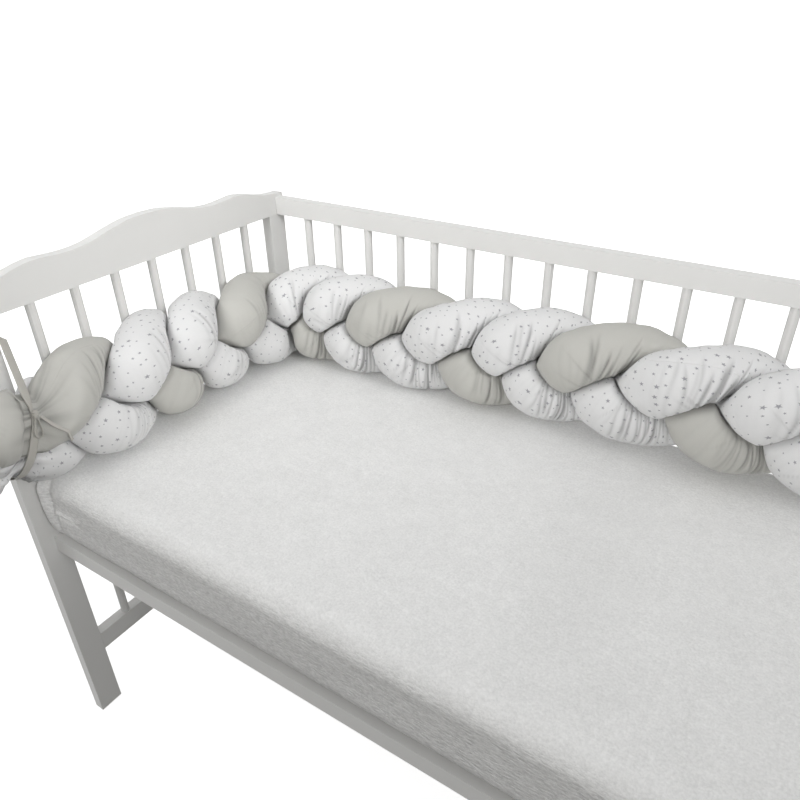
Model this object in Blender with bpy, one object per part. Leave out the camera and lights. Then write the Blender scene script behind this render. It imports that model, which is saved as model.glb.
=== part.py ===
"""A plaited crib bumper tied into a plain white crib.

Three stuffed cloth tubes, one plain grey and two with a star print, are
plaited on edge.  The plait stands on the mattress, leans on the spindles of
the left end, turns the back corner and runs along the whole back side.  A
flat tape ties each end of it: the left one round the front post, the right
one round the last back spindle.

While it is built, x runs to the right along the back side from the inner
face of the left end, y runs towards the back from the inner face of the back
side, and z is the height above the floor.  The last step moves everything so
that the origin is the centre of the footprint.
"""

import math

import bmesh
import bpy
import numpy as np
from mathutils import Vector

# ---------------------------------------------------------------- the crib
INNER_LENGTH = 1.204        # between the two ends, for a 1.20 m mattress
INNER_DEPTH = 0.605         # from the back side to the middle of the front posts
PANEL_THICKNESS = 0.020     # posts, end boards, stretchers and back rails
POST_WIDTH = 0.042
RAIL_BOTTOM = 0.800         # underside of the end boards and of the back rail
RAIL_HEIGHT = 0.0325
LOW_RAIL_BOTTOM = 0.133     # stretchers of the ends and low rail of the back
LOW_RAIL_HEIGHT = 0.038
SPINDLE_DIAMETER = 0.0152
SPINDLE_SIDES = 12
BACK_SPINDLES = 16
END_SPINDLES = 7
END_SPINDLE_PITCH = 0.0728
SEAT_GAP = 0.0003           # between pieces that touch

# Half of the wavy top of an end board: distance from its middle, height.
BOARD_TOP = (
    (0.000, 0.8742),
    (0.035, 0.8725),
    (0.075, 0.8648),
    (0.112, 0.8565),
    (0.145, 0.8540),
    (0.175, 0.8555),
    (0.203, 0.8572),
    (0.236, 0.8520),
    (0.268, 0.8440),
    (0.298, 0.8402),
    (0.3235, 0.8390),
)
BOARD_STEPS = 4             # straight pieces between two rows of BOARD_TOP

# ---------------------------------------------- the base and the mattress
BASE_TOP = 0.4210
BASE_RAIL_HEIGHT = 0.030
BASE_RAIL_THICKNESS = 0.018
SLATS = 6
SLAT_WIDTH = 0.070
SLAT_THICKNESS = 0.012
MATTRESS_LENGTH = 1.198
MATTRESS_WIDTH = 0.602
MATTRESS_TOP = 0.552
MATTRESS_ROUNDING = 0.032   # radius of its top and bottom edges
MATTRESS_CORNER = 0.030     # radius of its upright corners
ROUNDING_STEPS = 5

# ---------------------------------------------------------------- the plait
STRAND_RADIUS = 0.0480
MOST_SWELL = 1.08           # how far a strand that is pressed on one side swells elsewhere
WALL_DISTANCE = 0.0550      # from the spindles' plane to the plait's middle
BEND_RADIUS = 0.085         # of the plait's middle in the corner
STRAND_GAP = 0.0006         # between neighbouring strands
WALL_GAP = 0.0006           # between a strand and the crib
REST_GAP = 0.0004           # between a strand and the sheet
LEFT_START = -0.600         # y of station zero
RING_SPACING = 0.0185
NECK_SPACING = 0.0070       # closer rings where a tie gathers the plait
SETTLE_ROUNDS = 20
RING_SIDES = 14
RING_TURN = 0.25            # share of the weave that the rings follow

# Stations, in metres along the plait, where a strand is at its highest.  The
# strands take turns: grey, first star strand, second star strand.
CREST_STATIONS = (
    0.080, 0.208, 0.311, 0.435, 0.572, 0.672, 0.782,
    0.921, 1.035, 1.158, 1.305, 1.430, 1.555,
)
# Station and share of a turn before the first crest, where the strands leave
# the left tie and its loose end almost without a twist.
START_TURNS = ((-0.110, -0.28), (-0.045, -0.30), (0.020, -0.39))

# How the plait stands along its length, in metres: the height of its middle
# above the mattress, how far a strand climbs above and below that middle, how
# far it moves to the front and to the back, and how much nearer than
# WALL_DISTANCE the middle is to the spindles.
# station, height, climb, weave, nearer
PLAIT_STANCE = (
    (-0.110, 0.0990, 0.0440, 0.0240, 0.002),
    (0.000, 0.0990, 0.0440, 0.0240, 0.003),
    (0.120, 0.0930, 0.0420, 0.0240, 0.003),
    (0.260, 0.0970, 0.0395, 0.0240, 0.006),
    (0.460, 0.0845, 0.0395, 0.0240, 0.006),
    (0.620, 0.0880, 0.0395, 0.0240, 0.002),
    (0.800, 0.0845, 0.0395, 0.0240, 0.006),
    (1.050, 0.0975, 0.0395, 0.0240, 0.010),
    (1.350, 0.1010, 0.0395, 0.0240, 0.007),
    (1.650, 0.1010, 0.0395, 0.0240, 0.006),
)
LEFT_TIE_STATION = -0.028
RIGHT_TIE_STATION = 1.560
TIE_TILT = math.radians(24)  # of the plane in which a tape runs round the plait
TAIL_LENGTH = 0.075         # from a tie to the blunt ends of the strands

# ----------------------------------------------------------------- the ties
NECK_HALF_DEPTH = 0.043     # half size of the tied plait, away from the crib
NECK_HALF_HEIGHT = 0.060
NECK_HALF_LENGTH = 0.012    # how much of the plait the tape holds in
NECK_FLARE = 0.050          # length over which the plait swells again
NECK_SWELL = 1.8            # how many neck sizes it gains over that length
NECK_SHARE = 0.62           # share of its climb and weave that a strand keeps there
TAPE_WIDTH = 0.012
TAPE_THICKNESS = 0.0014
TAPE_CLEARANCE = 0.0005      # from the tape to the post or spindle
CLOTH_CLEARANCE = 0.0020     # from the tape to the squeezed cloth, at most
KNOT_SIZE = (0.012, 0.011, 0.008)
BOW_LENGTH = 0.028
BOW_SPREAD = 0.0045         # half of its greatest width, beyond that of its foot
BOW_FOOT = 0.0025           # from its middle to each of its two feet in the knot
BOW_WIDTH = 0.0045          # of the folded tape that makes it
END_LENGTH = 0.048          # of the free end that hangs beside the bow loop
END_WIDTH = 0.007
END_TURN = 0.005            # radius with which it turns down out of the knot

WHITE_PAINT = (0.78, 0.78, 0.77)
GREY_COTTON = (0.50, 0.49, 0.46)
STAR_COTTON = (0.87, 0.87, 0.88)
SHEET_TERRY = (0.80, 0.80, 0.80)
TAPE_COTTON = (0.52, 0.50, 0.46)


# ------------------------------------------------------------ small helpers
def material(name, colour, roughness):
    made = bpy.data.materials.new(name)
    made.use_nodes = True
    shader = made.node_tree.nodes["Principled BSDF"]
    shader.inputs["Base Color"].default_value = (*colour, 1.0)
    shader.inputs["Roughness"].default_value = roughness
    shader.inputs["Metallic"].default_value = 0.0
    return made


def node(name, points, faces, finish, smooth=False):
    """One mesh object, its faces turned outwards."""
    mesh = bpy.data.meshes.new(name)
    mesh.from_pydata([tuple(map(float, p)) for p in points], [], faces)
    sheet = bmesh.new()
    sheet.from_mesh(mesh)
    bmesh.ops.recalc_face_normals(sheet, faces=sheet.faces)
    sheet.to_mesh(mesh)
    sheet.free()
    mesh.materials.append(finish)
    if smooth:
        mesh.shade_smooth()
        mesh.set_sharp_from_angle(angle=math.radians(50))
    made = bpy.data.objects.new(name, mesh)
    bpy.context.scene.collection.objects.link(made)
    return made


def prism(name, outline, lift, finish, smooth=False):
    """The solid between an outline and the same outline moved by lift."""
    count = len(outline)
    points = [Vector(p) for p in outline]
    points += [p + Vector(lift) for p in points]
    faces = [tuple(range(count)), tuple(range(2 * count - 1, count - 1, -1))]
    for i in range(count):
        j = (i + 1) % count
        faces.append((i, j, count + j, count + i))
    return node(name, points, faces, finish, smooth)


def box(name, low, high, finish):
    outline = [
        (low[0], low[1], low[2]),
        (high[0], low[1], low[2]),
        (high[0], high[1], low[2]),
        (low[0], high[1], low[2]),
    ]
    return prism(name, outline, (0, 0, high[2] - low[2]), finish)


def spindle(name, x, y, bottom, top, finish):
    turn = [2 * math.pi * (i + 0.5) / SPINDLE_SIDES for i in range(SPINDLE_SIDES)]
    radius = SPINDLE_DIAMETER / 2
    outline = [(x + radius * math.cos(a), y + radius * math.sin(a), bottom) for a in turn]
    return prism(name, outline, (0, 0, top - bottom), finish, smooth=True)


def tube(name, rings, finish):
    """A closed tube through rings of equal point counts, with a tip at each end."""
    rings = np.asarray(rings)
    count, sides = rings.shape[:2]
    points = list(rings.reshape(-1, 3)) + [rings[0].mean(axis=0), rings[-1].mean(axis=0)]
    first, last = count * sides, count * sides + 1
    faces = []
    for j in range(sides):
        k = (j + 1) % sides
        faces.append((first, k, j))
        faces.append((last, (count - 1) * sides + j, (count - 1) * sides + k))
        for i in range(count - 1):
            a, b = i * sides, (i + 1) * sides
            faces.append((a + j, a + k, b + k, b + j))
    return node(name, points, faces, finish, smooth=True)


def smooth_row(rows, steps):
    """Points of a smooth curve through the rows, ends included."""
    rows = np.asarray(rows, float)
    padded = np.vstack([2 * rows[0] - rows[1], rows, 2 * rows[-1] - rows[-2]])
    found = []
    for i in range(1, len(rows)):
        p0, p1, p2, p3 = padded[i - 1:i + 3]
        for t in np.arange(steps) / steps:
            found.append(0.5 * (
                2 * p1 + (p2 - p0) * t
                + (2 * p0 - 5 * p1 + 4 * p2 - p3) * t ** 2
                + (3 * p1 - p0 - 3 * p2 + p3) * t ** 3
            ))
    return np.array(found + [rows[-1]])


# ----------------------------------------------------------------- the crib
def build_end(side, inner_x, outward, paint):
    """One end: two posts, a wavy board on top of them, a stretcher and spindles."""
    x0, x1 = sorted((inner_x, inner_x + outward * PANEL_THICKNESS))
    middle = -INNER_DEPTH / 2
    half = POST_WIDTH / 2
    for where, y in (("front", -INNER_DEPTH), ("back", 0.0)):
        box(f"{side}_{where}_post", (x0, y - half, 0.0), (x1, y + half, RAIL_BOTTOM - SEAT_GAP), paint)

    top = smooth_row(BOARD_TOP, BOARD_STEPS)
    whole = [(-d, z) for d, z in top[:0:-1]] + [(d, z) for d, z in top]
    outline = [(x0, middle + d, z) for d, z in whole]
    outline += [(x0, middle + whole[-1][0], RAIL_BOTTOM), (x0, middle + whole[0][0], RAIL_BOTTOM)]
    prism(f"{side}_end_board", outline, (PANEL_THICKNESS, 0, 0), paint)

    box(
        f"{side}_stretcher",
        (x0, -INNER_DEPTH + half + SEAT_GAP, LOW_RAIL_BOTTOM),
        (x1, -half - SEAT_GAP, LOW_RAIL_BOTTOM + LOW_RAIL_HEIGHT),
        paint,
    )
    for i in range(END_SPINDLES):
        y = middle + (i - (END_SPINDLES - 1) / 2) * END_SPINDLE_PITCH
        spindle(
            f"{side}_end_spindle_{i + 1}", (x0 + x1) / 2, y,
            LOW_RAIL_BOTTOM + LOW_RAIL_HEIGHT + SEAT_GAP, RAIL_BOTTOM - SEAT_GAP, paint,
        )


def build_back(paint):
    """The back side: two rails and a row of spindles between them."""
    low = SEAT_GAP
    high = INNER_LENGTH - SEAT_GAP
    box("back_top_rail", (low, 0.0, RAIL_BOTTOM), (high, PANEL_THICKNESS, RAIL_BOTTOM + RAIL_HEIGHT), paint)
    low_top = LOW_RAIL_BOTTOM + LOW_RAIL_HEIGHT
    box("back_low_rail", (low, 0.0, LOW_RAIL_BOTTOM), (high, PANEL_THICKNESS, low_top), paint)
    pitch = INNER_LENGTH / (BACK_SPINDLES + 1)
    for i in range(BACK_SPINDLES):
        spindle(
            f"back_spindle_{i + 1:02d}", (i + 1) * pitch, PANEL_THICKNESS / 2,
            low_top + SEAT_GAP, RAIL_BOTTOM - SEAT_GAP, paint,
        )


def build_base(paint):
    """The slatted base that carries the mattress, between the posts."""
    low = SEAT_GAP
    high = INNER_LENGTH - SEAT_GAP
    front = -INNER_DEPTH + 0.002
    rails = (("front", front), ("back", -0.001 - BASE_RAIL_THICKNESS))
    for where, y in rails:
        box(
            f"base_{where}_rail",
            (low, y, BASE_TOP - BASE_RAIL_HEIGHT),
            (high, y + BASE_RAIL_THICKNESS, BASE_TOP),
            paint,
        )
    first = front + BASE_RAIL_THICKNESS + SEAT_GAP
    last = rails[1][1] - SEAT_GAP
    for i in range(SLATS):
        x = INNER_LENGTH * (i + 0.5) / SLATS
        box(
            f"base_slat_{i + 1}",
            (x - SLAT_WIDTH / 2, first, BASE_TOP - SLAT_THICKNESS),
            (x + SLAT_WIDTH / 2, last, BASE_TOP),
            paint,
        )


def build_mattress(cloth):
    """The mattress in its fitted sheet: a slab with round edges and corners."""
    low_z, high_z = BASE_TOP + SEAT_GAP, MATTRESS_TOP
    x0 = (INNER_LENGTH - MATTRESS_LENGTH) / 2
    x1 = x0 + MATTRESS_LENGTH
    y1 = -0.0018
    y0 = y1 - MATTRESS_WIDTH
    turn = np.linspace(0, math.pi / 2, ROUNDING_STEPS + 1)
    edge = [(MATTRESS_ROUNDING * (1 - math.sin(a)), MATTRESS_ROUNDING * (1 - math.cos(a))) for a in turn]
    levels = [(inset, low_z + rise) for inset, rise in edge]
    levels += [(inset, high_z - rise) for inset, rise in reversed(edge)]
    corners = ((x1, y1, 0), (x0, y1, 1), (x0, y0, 2), (x1, y0, 3))
    rings = []
    for inset, z in levels:
        ring = []
        for x, y, quarter in corners:
            sx = 1 if x == x1 else -1
            sy = 1 if y == y1 else -1
            radius = MATTRESS_CORNER
            cx, cy = x - sx * (radius + inset), y - sy * (radius + inset)
            for a in turn:
                angle = a + quarter * math.pi / 2
                ring.append((cx + radius * math.cos(angle), cy + radius * math.sin(angle), z))
        rings.append(ring)
    tube("mattress_with_sheet", rings, cloth)


# ---------------------------------------------------------------- the plait
def eased(at, stops, values):
    """Value at a place, on a smooth curve through the values at the stops."""
    at = min(max(at, stops[0]), stops[-1])
    i = min(int(np.searchsorted(stops, at, side="right")) - 1, len(stops) - 2)
    slopes = np.gradient(values, stops)
    width = stops[i + 1] - stops[i]
    t = (at - stops[i]) / width
    return (
        (2 * t ** 3 - 3 * t ** 2 + 1) * values[i]
        + (t ** 3 - 2 * t ** 2 + t) * width * slopes[i]
        + (3 * t ** 2 - 2 * t ** 3) * values[i + 1]
        + (t ** 3 - t ** 2) * width * slopes[i + 1]
    )


def stance(station):
    """Height, climb, weave and nearness of the plait at a station."""
    table = np.array(PLAIT_STANCE)
    return [eased(station, table[:, 0], table[:, k]) for k in range(1, 5)]


def middle_line(station):
    """Middle of the plait, its direction and its way out from the crib, at a station."""
    straight = -WALL_DISTANCE - BEND_RADIUS - LEFT_START
    turned = straight + BEND_RADIUS * math.pi / 2
    if station <= straight:
        spot = np.array([WALL_DISTANCE, LEFT_START + station, MATTRESS_TOP])
        along, out = np.array([0.0, 1, 0]), np.array([1.0, 0, 0])
    elif station <= turned:
        a = (station - straight) / BEND_RADIUS
        hub = np.array([WALL_DISTANCE + BEND_RADIUS, -WALL_DISTANCE - BEND_RADIUS, MATTRESS_TOP])
        out = np.array([math.cos(a), -math.sin(a), 0])
        spot = hub - BEND_RADIUS * out
        along = np.array([math.sin(a), math.cos(a), 0])
    else:
        spot = np.array([WALL_DISTANCE + BEND_RADIUS + station - turned, -WALL_DISTANCE, MATTRESS_TOP])
        along, out = np.array([1.0, 0, 0]), np.array([0, -1.0, 0])
    height, _, _, nearer = stance(station)
    return spot - nearer * out + np.array([0, 0, height]), along, out


def turns(station):
    """How many crests of the plait lie before a station, the grey one by the left tie being 0."""
    stops = np.array([row[0] for row in START_TURNS] + list(CREST_STATIONS))
    order = np.array([row[1] for row in START_TURNS] + list(range(len(CREST_STATIONS))))
    if station > stops[-1]:
        return order[-1] + (station - stops[-1]) / (stops[-1] - stops[-2])
    return eased(station, stops, order)


def gather(station):
    """1 where the plait is free, falling to a share at the ties."""
    near = min(abs(station - LEFT_TIE_STATION), abs(station - RIGHT_TIE_STATION))
    ease = min(near / NECK_FLARE, 1.0)
    return NECK_SHARE + (1 - NECK_SHARE) * ease * ease * (3 - 2 * ease)


def centre_line(strand, stations, weave_share=1.0):
    """Points of one strand's centre line."""
    found = []
    for station in stations:
        middle, _, out = middle_line(station)
        angle = 2 * math.pi * (turns(station) - strand) / 3 + math.pi / 2
        _, climb, weave, _ = stance(station)
        share = gather(station)
        rise = share * climb * math.sin(angle)
        front = share * weave_share * weave * math.sin(2 * angle)
        found.append(middle + out * front + np.array([0, 0, rise]))
    return np.array(found)


def tie_plane(station, tilt):
    """Middle and normal of the plane in which a tape runs round the plait."""
    middle, along, _ = middle_line(station)
    normal = along * math.cos(tilt) - np.array([0, 0, math.sin(tilt)])
    return middle, normal


TIES = (
    (LEFT_TIE_STATION, TIE_TILT),
    (RIGHT_TIE_STATION, -TIE_TILT),
)


def allowed(points):
    """Which points a strand may fill: clear of the crib, the sheet and the ties."""
    x, y, z = points[..., 0], points[..., 1], points[..., 2]
    fine = (x > WALL_GAP) & (y < -WALL_GAP) & (x < INNER_LENGTH - WALL_GAP)
    fine &= z > MATTRESS_TOP + REST_GAP
    for station, tilt in TIES:
        middle, normal = tie_plane(station, tilt)
        _, _, out = middle_line(station)
        side = np.cross(normal, out)
        away = points - middle
        reach = np.abs(away @ normal)
        size = np.hypot(away @ out / NECK_HALF_DEPTH, away @ side / NECK_HALF_HEIGHT)
        swell = np.clip((reach - NECK_HALF_LENGTH) / NECK_FLARE, 0, None)
        fine &= (size < 1 + NECK_SWELL * swell) | (reach > 2 * NECK_FLARE)
    return fine


def nearest(points, line):
    """Distance from each point to a closely stepped line."""
    flat = points.reshape(-1, 3)
    squares = (flat ** 2).sum(axis=1)[:, None] - 2 * flat @ line.T + (line ** 2).sum(axis=1)
    return np.sqrt(np.maximum(squares.min(axis=1), 0)).reshape(points.shape[:-1])


def ring_stations():
    """Places of a strand's rings: close together at the ties, wider elsewhere."""
    start = LEFT_TIE_STATION - TAIL_LENGTH
    end = RIGHT_TIE_STATION + TAIL_LENGTH
    found = [start]
    while found[-1] < end:
        near = min(abs(found[-1] - LEFT_TIE_STATION), abs(found[-1] - RIGHT_TIE_STATION))
        found.append(found[-1] + (RING_SPACING if near > NECK_FLARE else NECK_SPACING))
    found = np.array(found)
    return start + (found - start) * (end - start) / (found[-1] - start)


def strand_rings(strand):
    """Rings of points of one strand, pressed in where its neighbours touch it."""
    stations = ring_stations()
    start, end = stations[0], stations[-1]
    own = centre_line(strand, stations)
    fine = np.arange(start - 0.02, end + 0.02, 0.004)
    own_line = centre_line(strand, fine)
    others = [centre_line(k, fine) for k in range(3) if k != strand]
    # The rings turn less than the centre line, so that they never cross.
    along = np.gradient(centre_line(strand, stations, RING_TURN), axis=0)
    along /= np.linalg.norm(along, axis=1)[:, None]
    turn = 2 * math.pi * np.arange(RING_SIDES) / RING_SIDES
    rings = []
    for i, middle in enumerate(own):
        _, _, out = middle_line(stations[i])
        first = out - along[i] * (out @ along[i])
        first /= np.linalg.norm(first)
        second = np.cross(along[i], first)
        ways = np.cos(turn)[:, None] * first + np.sin(turn)[:, None] * second
        # Half way to the nearest point of each neighbour's centre line.
        limit = np.full(RING_SIDES, 1.0)
        for line in others:
            near = line[np.linalg.norm(line - middle, axis=1) < 0.16] - middle
            toward = ways @ near.T
            reach = np.where(toward > 1e-6, (near ** 2).sum(axis=1) / np.maximum(2 * toward, 1e-6), 1.0)
            limit = np.minimum(limit, reach.min(axis=1) - STRAND_GAP / 2)
        # Walk outwards until the crib, the sheet or a tape stops the cloth.
        steps = np.linspace(0.0, 0.075, 151)
        reached = allowed(middle + ways[:, None, :] * steps[None, :, None])
        reached[:, 0] = True
        blocked = np.argmin(reached, axis=1)
        stop = np.where(reached.all(axis=1), 1.0, steps[np.maximum(blocked - 1, 1)])
        limit = np.maximum(np.minimum(limit, stop), 0.003)
        # The filling keeps its section: what is pressed in bulges elsewhere.
        ends = min(stations[i] - start, end - stations[i]) / 0.035
        radius = STRAND_RADIUS * math.sqrt(min(1.0, 0.10 + 0.9 * ends))
        swollen = radius
        for _ in range(6):
            r = (swollen ** -9.0 + limit ** -9.0) ** (-1 / 9.0)
            swollen *= math.sqrt(radius ** 2 / (r ** 2).mean())
            swollen = min(swollen, MOST_SWELL * radius)
        r = (swollen ** -9.0 + limit ** -9.0) ** (-1 / 9.0)
        rings.append(middle + ways * r[:, None])
    return settle(np.array(rings), own, own_line, others)


def settle(rings, own, own_line, others):
    """Draws the rings in until the faces between them clear everything too."""
    for _ in range(SETTLE_ROUNDS):
        ahead, beside = rings[1:], np.roll(rings, -1, axis=1)
        spots = (
            (rings[:-1] + ahead) / 2,
            (rings + beside) / 2,
            (rings[:-1] + np.roll(ahead, -1, axis=1)) / 2,
            (ahead + beside[:-1]) / 2,
            rings,
        )
        press = np.zeros(rings.shape[:2])
        for kind, spot in enumerate(spots):
            room = np.minimum(nearest(spot, others[0]), nearest(spot, others[1]))
            over = np.maximum(nearest(spot, own_line) + STRAND_GAP - room, 0) / 2
            over = np.maximum(over, np.where(allowed(spot), 0.0, 0.0008))
            rows = slice(0, len(spot))
            press[rows] = np.maximum(press[rows], over)
            if kind in (0, 2, 3):
                press[1:] = np.maximum(press[1:], over)
            if kind in (1, 2, 3):
                turned = np.roll(over, 1, axis=1)
                press[rows] = np.maximum(press[rows], turned)
            if kind in (2, 3):
                press[1:] = np.maximum(press[1:], np.roll(over, 1, axis=1))
        if press.max() == 0:
            break
        inward = own[:, None, :] - rings
        size = np.linalg.norm(inward, axis=2)
        share = np.clip(press / np.maximum(size, 1e-6), 0, 0.5)
        rings = rings + inward * share[..., None]
    return rings


# ----------------------------------------------------------------- the ties
def hull(points):
    """Corners of the smallest convex outline round flat points, in order."""
    points = sorted(map(tuple, points))
    found = []
    for row in (points, points[::-1]):
        chain = []
        for p in row:
            while len(chain) > 1:
                (ax, ay), (bx, by) = chain[-2:]
                if (bx - ax) * (p[1] - ay) - (by - ay) * (p[0] - ax) > 0:
                    break
                chain.pop()
            chain.append(p)
        found += chain[:-1]
    return np.array(found)


def tape_loop(name, station, tilt, held, finish):
    """The tape's loop round the plait and the upright piece that it holds on to."""
    middle, normal = tie_plane(station, tilt)
    _, _, out = middle_line(station)
    side = np.cross(normal, out)
    turn = np.linspace(0, 2 * math.pi, 48, endpoint=False)
    clear = CLOTH_CLEARANCE
    flat = [
        ((NECK_HALF_DEPTH + clear) * math.cos(a), (NECK_HALF_HEIGHT + clear) * math.sin(a))
        for a in turn
    ]
    for corner in held:
        for edge in (-TAPE_WIDTH / 2, TAPE_WIDTH / 2):
            away = np.array([corner[0], corner[1], middle[2]]) - middle
            away[2] += (edge - away @ normal) / normal[2]
            flat.append((away @ out, away @ side))
    inner = hull(flat)
    edges = np.roll(inner, -1, axis=0) - inner
    edges /= np.linalg.norm(edges, axis=1)[:, None]
    across = np.stack([edges[:, 1], -edges[:, 0]], axis=1)
    corner = across + np.roll(across, 1, axis=0)
    corner /= (corner * across).sum(axis=1)[:, None]
    outer = inner + corner * TAPE_THICKNESS
    sections = []
    for (ip, iq), (op, oq) in zip(inner, outer):
        near = middle + ip * out + iq * side
        far = middle + op * out + oq * side
        half = normal * TAPE_WIDTH / 2
        sections.append((near - half, near + half, far + half, far - half))
    count = len(sections)
    points = [p for section in sections for p in section]
    faces = []
    for i in range(count):
        a, b = 4 * i, 4 * ((i + 1) % count)
        for j in range(4):
            k = (j + 1) % 4
            faces.append((a + j, a + k, b + k, b + j))
    node(name, points, faces, finish, smooth=True)


def tape_frame(station, tilt, angle):
    """A point on the outside of the tape round the plait, with its directions."""
    middle, normal = tie_plane(station, tilt)
    _, _, out = middle_line(station)
    side = np.cross(normal, out)
    lift = CLOTH_CLEARANCE + TAPE_THICKNESS
    p = (NECK_HALF_DEPTH + lift) * math.cos(angle)
    q = (NECK_HALF_HEIGHT + lift) * math.sin(angle)
    away = np.array([p / NECK_HALF_DEPTH ** 2, q / NECK_HALF_HEIGHT ** 2])
    away /= np.linalg.norm(away)
    outward = away[0] * out + away[1] * side
    return middle + p * out + q * side, outward, normal


def ribbon(name, route, flat, width, finish):
    """A flat tape along a route; flat gives the direction across it at each point."""
    route = np.asarray(route)
    flat = np.asarray(flat)
    along = np.gradient(route, axis=0)
    along /= np.linalg.norm(along, axis=1)[:, None]
    up = np.cross(along, flat)
    up /= np.linalg.norm(up, axis=1)[:, None]
    half = TAPE_THICKNESS / 2
    rings = []
    for p, w, u in zip(route, flat, up):
        rings.append([
            p - w * width / 2 - u * half,
            p + w * width / 2 - u * half,
            p + w * width / 2 + u * half,
            p - w * width / 2 + u * half,
        ])
    tube(name, rings, finish)


def build_tie(side, station, tilt, knot_angle, held, finish):
    """The tape's loop, its knot, and the bow loop and free end that leave the knot."""
    tape_loop(f"{side}_tie_loop", station, tilt, held, finish)
    spot, outward, across = tape_frame(station, tilt, knot_angle)
    downward = np.cross(outward, across)
    if downward[2] > 0:
        downward = -downward
    middle = spot + outward * (KNOT_SIZE[2] / 2 + SEAT_GAP)
    mesh = bmesh.new()
    bmesh.ops.create_icosphere(mesh, subdivisions=2, radius=0.5)
    points = [
        middle + downward * (v.co.x * KNOT_SIZE[0]) + across * (v.co.y * KNOT_SIZE[1])
        + outward * (v.co.z * KNOT_SIZE[2])
        for v in mesh.verts
    ]
    faces = [tuple(v.index for v in f.verts) for f in mesh.faces]
    mesh.free()
    node(f"{side}_tie_knot", points, faces, finish, smooth=True)
    # The bow loop leaves the knot, hangs down and comes back beside where it left.
    route = []
    for t in np.linspace(0.0, 1.0, 24):
        sideways = BOW_FOOT * (2 * t - 1) - BOW_SPREAD * math.sin(2 * math.pi * t)
        rim = KNOT_SIZE[0] / 2 * math.sqrt(1 - (BOW_FOOT / (KNOT_SIZE[1] / 2)) ** 2)
        down = rim + SEAT_GAP + BOW_LENGTH * math.sin(math.pi * t) ** 0.8
        route.append(middle + downward * down + across * sideways)
    ribbon(f"{side}_tie_bow", route, [outward] * len(route), BOW_WIDTH, finish)
    # The free end comes out of the side of the knot and turns down.
    leaves = middle + across * (KNOT_SIZE[1] / 2 + SEAT_GAP)
    route, flat = [], []
    for a in np.linspace(0.0, math.pi / 2, 7):
        route.append(leaves + END_TURN * (across * math.sin(a) + downward * (1 - math.cos(a))))
        flat.append(downward * math.cos(a) - across * math.sin(a))
    for drop in np.linspace(0.0, END_LENGTH - END_TURN, 9)[1:]:
        route.append(route[6] + downward * drop)
        flat.append(flat[6])
    ribbon(f"{side}_tie_end", route, flat, END_WIDTH, finish)


def build_ties(finish):
    half = POST_WIDTH / 2 + TAPE_CLEARANCE
    back = -PANEL_THICKNESS - TAPE_CLEARANCE
    post = [(x, y) for x in (0.0, back) for y in (-INNER_DEPTH - half, -INNER_DEPTH + half)]
    (left_station, left_tilt), (right_station, right_tilt) = TIES
    build_tie("left", left_station, left_tilt, math.radians(-33), post, finish)
    radius = SPINDLE_DIAMETER / 2 + 2 * TAPE_CLEARANCE
    x = INNER_LENGTH * BACK_SPINDLES / (BACK_SPINDLES + 1)
    turn = [2 * math.pi * i / 12 for i in range(12)]
    last = [(x + radius * math.cos(a), PANEL_THICKNESS / 2 + radius * math.sin(a)) for a in turn]
    build_tie("right", right_station, right_tilt, math.radians(-33), last, finish)


def centre_on_footprint():
    """Moves every piece so that the origin is the middle of the footprint."""
    pieces = [o for o in bpy.context.scene.collection.objects if o.type == "MESH"]
    corners = np.array([v.co[:] for o in pieces for v in o.data.vertices])
    low, high = corners.min(axis=0), corners.max(axis=0)
    shift = Vector((-(low[0] + high[0]) / 2, -(low[1] + high[1]) / 2, -low[2]))
    for piece in pieces:
        piece.location = shift


def main():
    for old in list(bpy.data.objects):
        bpy.data.objects.remove(old)
    paint = material("white paint", WHITE_PAINT, 0.45)
    grey = material("grey cotton", GREY_COTTON, 0.85)
    stars = material("star print cotton", STAR_COTTON, 0.85)
    terry = material("terry sheet", SHEET_TERRY, 0.95)
    tape = material("tape", TAPE_COTTON, 0.85)
    build_end("left", 0.0, -1, paint)
    build_end("right", INNER_LENGTH, 1, paint)
    build_back(paint)
    build_base(paint)
    build_mattress(terry)
    strands = (("grey_strand", grey), ("star_strand_1", stars), ("star_strand_2", stars))
    for k, (name, cloth) in enumerate(strands):
        tube(name, strand_rings(k), cloth)
    build_ties(tape)
    centre_on_footprint()


main()
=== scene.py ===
"""A plaited crib bumper tied into a plain white crib: its cloth, its paint and the light on them."""

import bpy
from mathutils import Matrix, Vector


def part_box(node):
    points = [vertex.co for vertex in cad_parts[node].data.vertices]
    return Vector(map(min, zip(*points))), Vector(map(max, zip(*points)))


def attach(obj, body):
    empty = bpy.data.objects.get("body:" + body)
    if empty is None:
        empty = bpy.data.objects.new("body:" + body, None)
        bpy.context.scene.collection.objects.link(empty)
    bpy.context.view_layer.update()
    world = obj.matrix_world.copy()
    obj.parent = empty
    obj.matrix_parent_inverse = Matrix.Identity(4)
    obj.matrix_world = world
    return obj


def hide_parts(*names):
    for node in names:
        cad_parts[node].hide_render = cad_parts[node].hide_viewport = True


bl_info = {
    "name": "Plaited crib bumper",
    "version": (1, 0, 0),
    "blender": (4, 5, 0),
    "location": "3D View > Sidebar > Crib bumper",
    "description": "Dresses a white crib, its sheeted mattress and the plaited bumper tied into it",
    "category": "Object",
}

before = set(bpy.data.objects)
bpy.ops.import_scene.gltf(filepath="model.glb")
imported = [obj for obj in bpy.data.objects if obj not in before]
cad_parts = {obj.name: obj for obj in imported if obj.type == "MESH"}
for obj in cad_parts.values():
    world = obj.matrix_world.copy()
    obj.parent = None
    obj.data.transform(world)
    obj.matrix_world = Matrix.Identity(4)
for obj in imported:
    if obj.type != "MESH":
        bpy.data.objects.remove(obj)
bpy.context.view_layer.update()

import math

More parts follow.
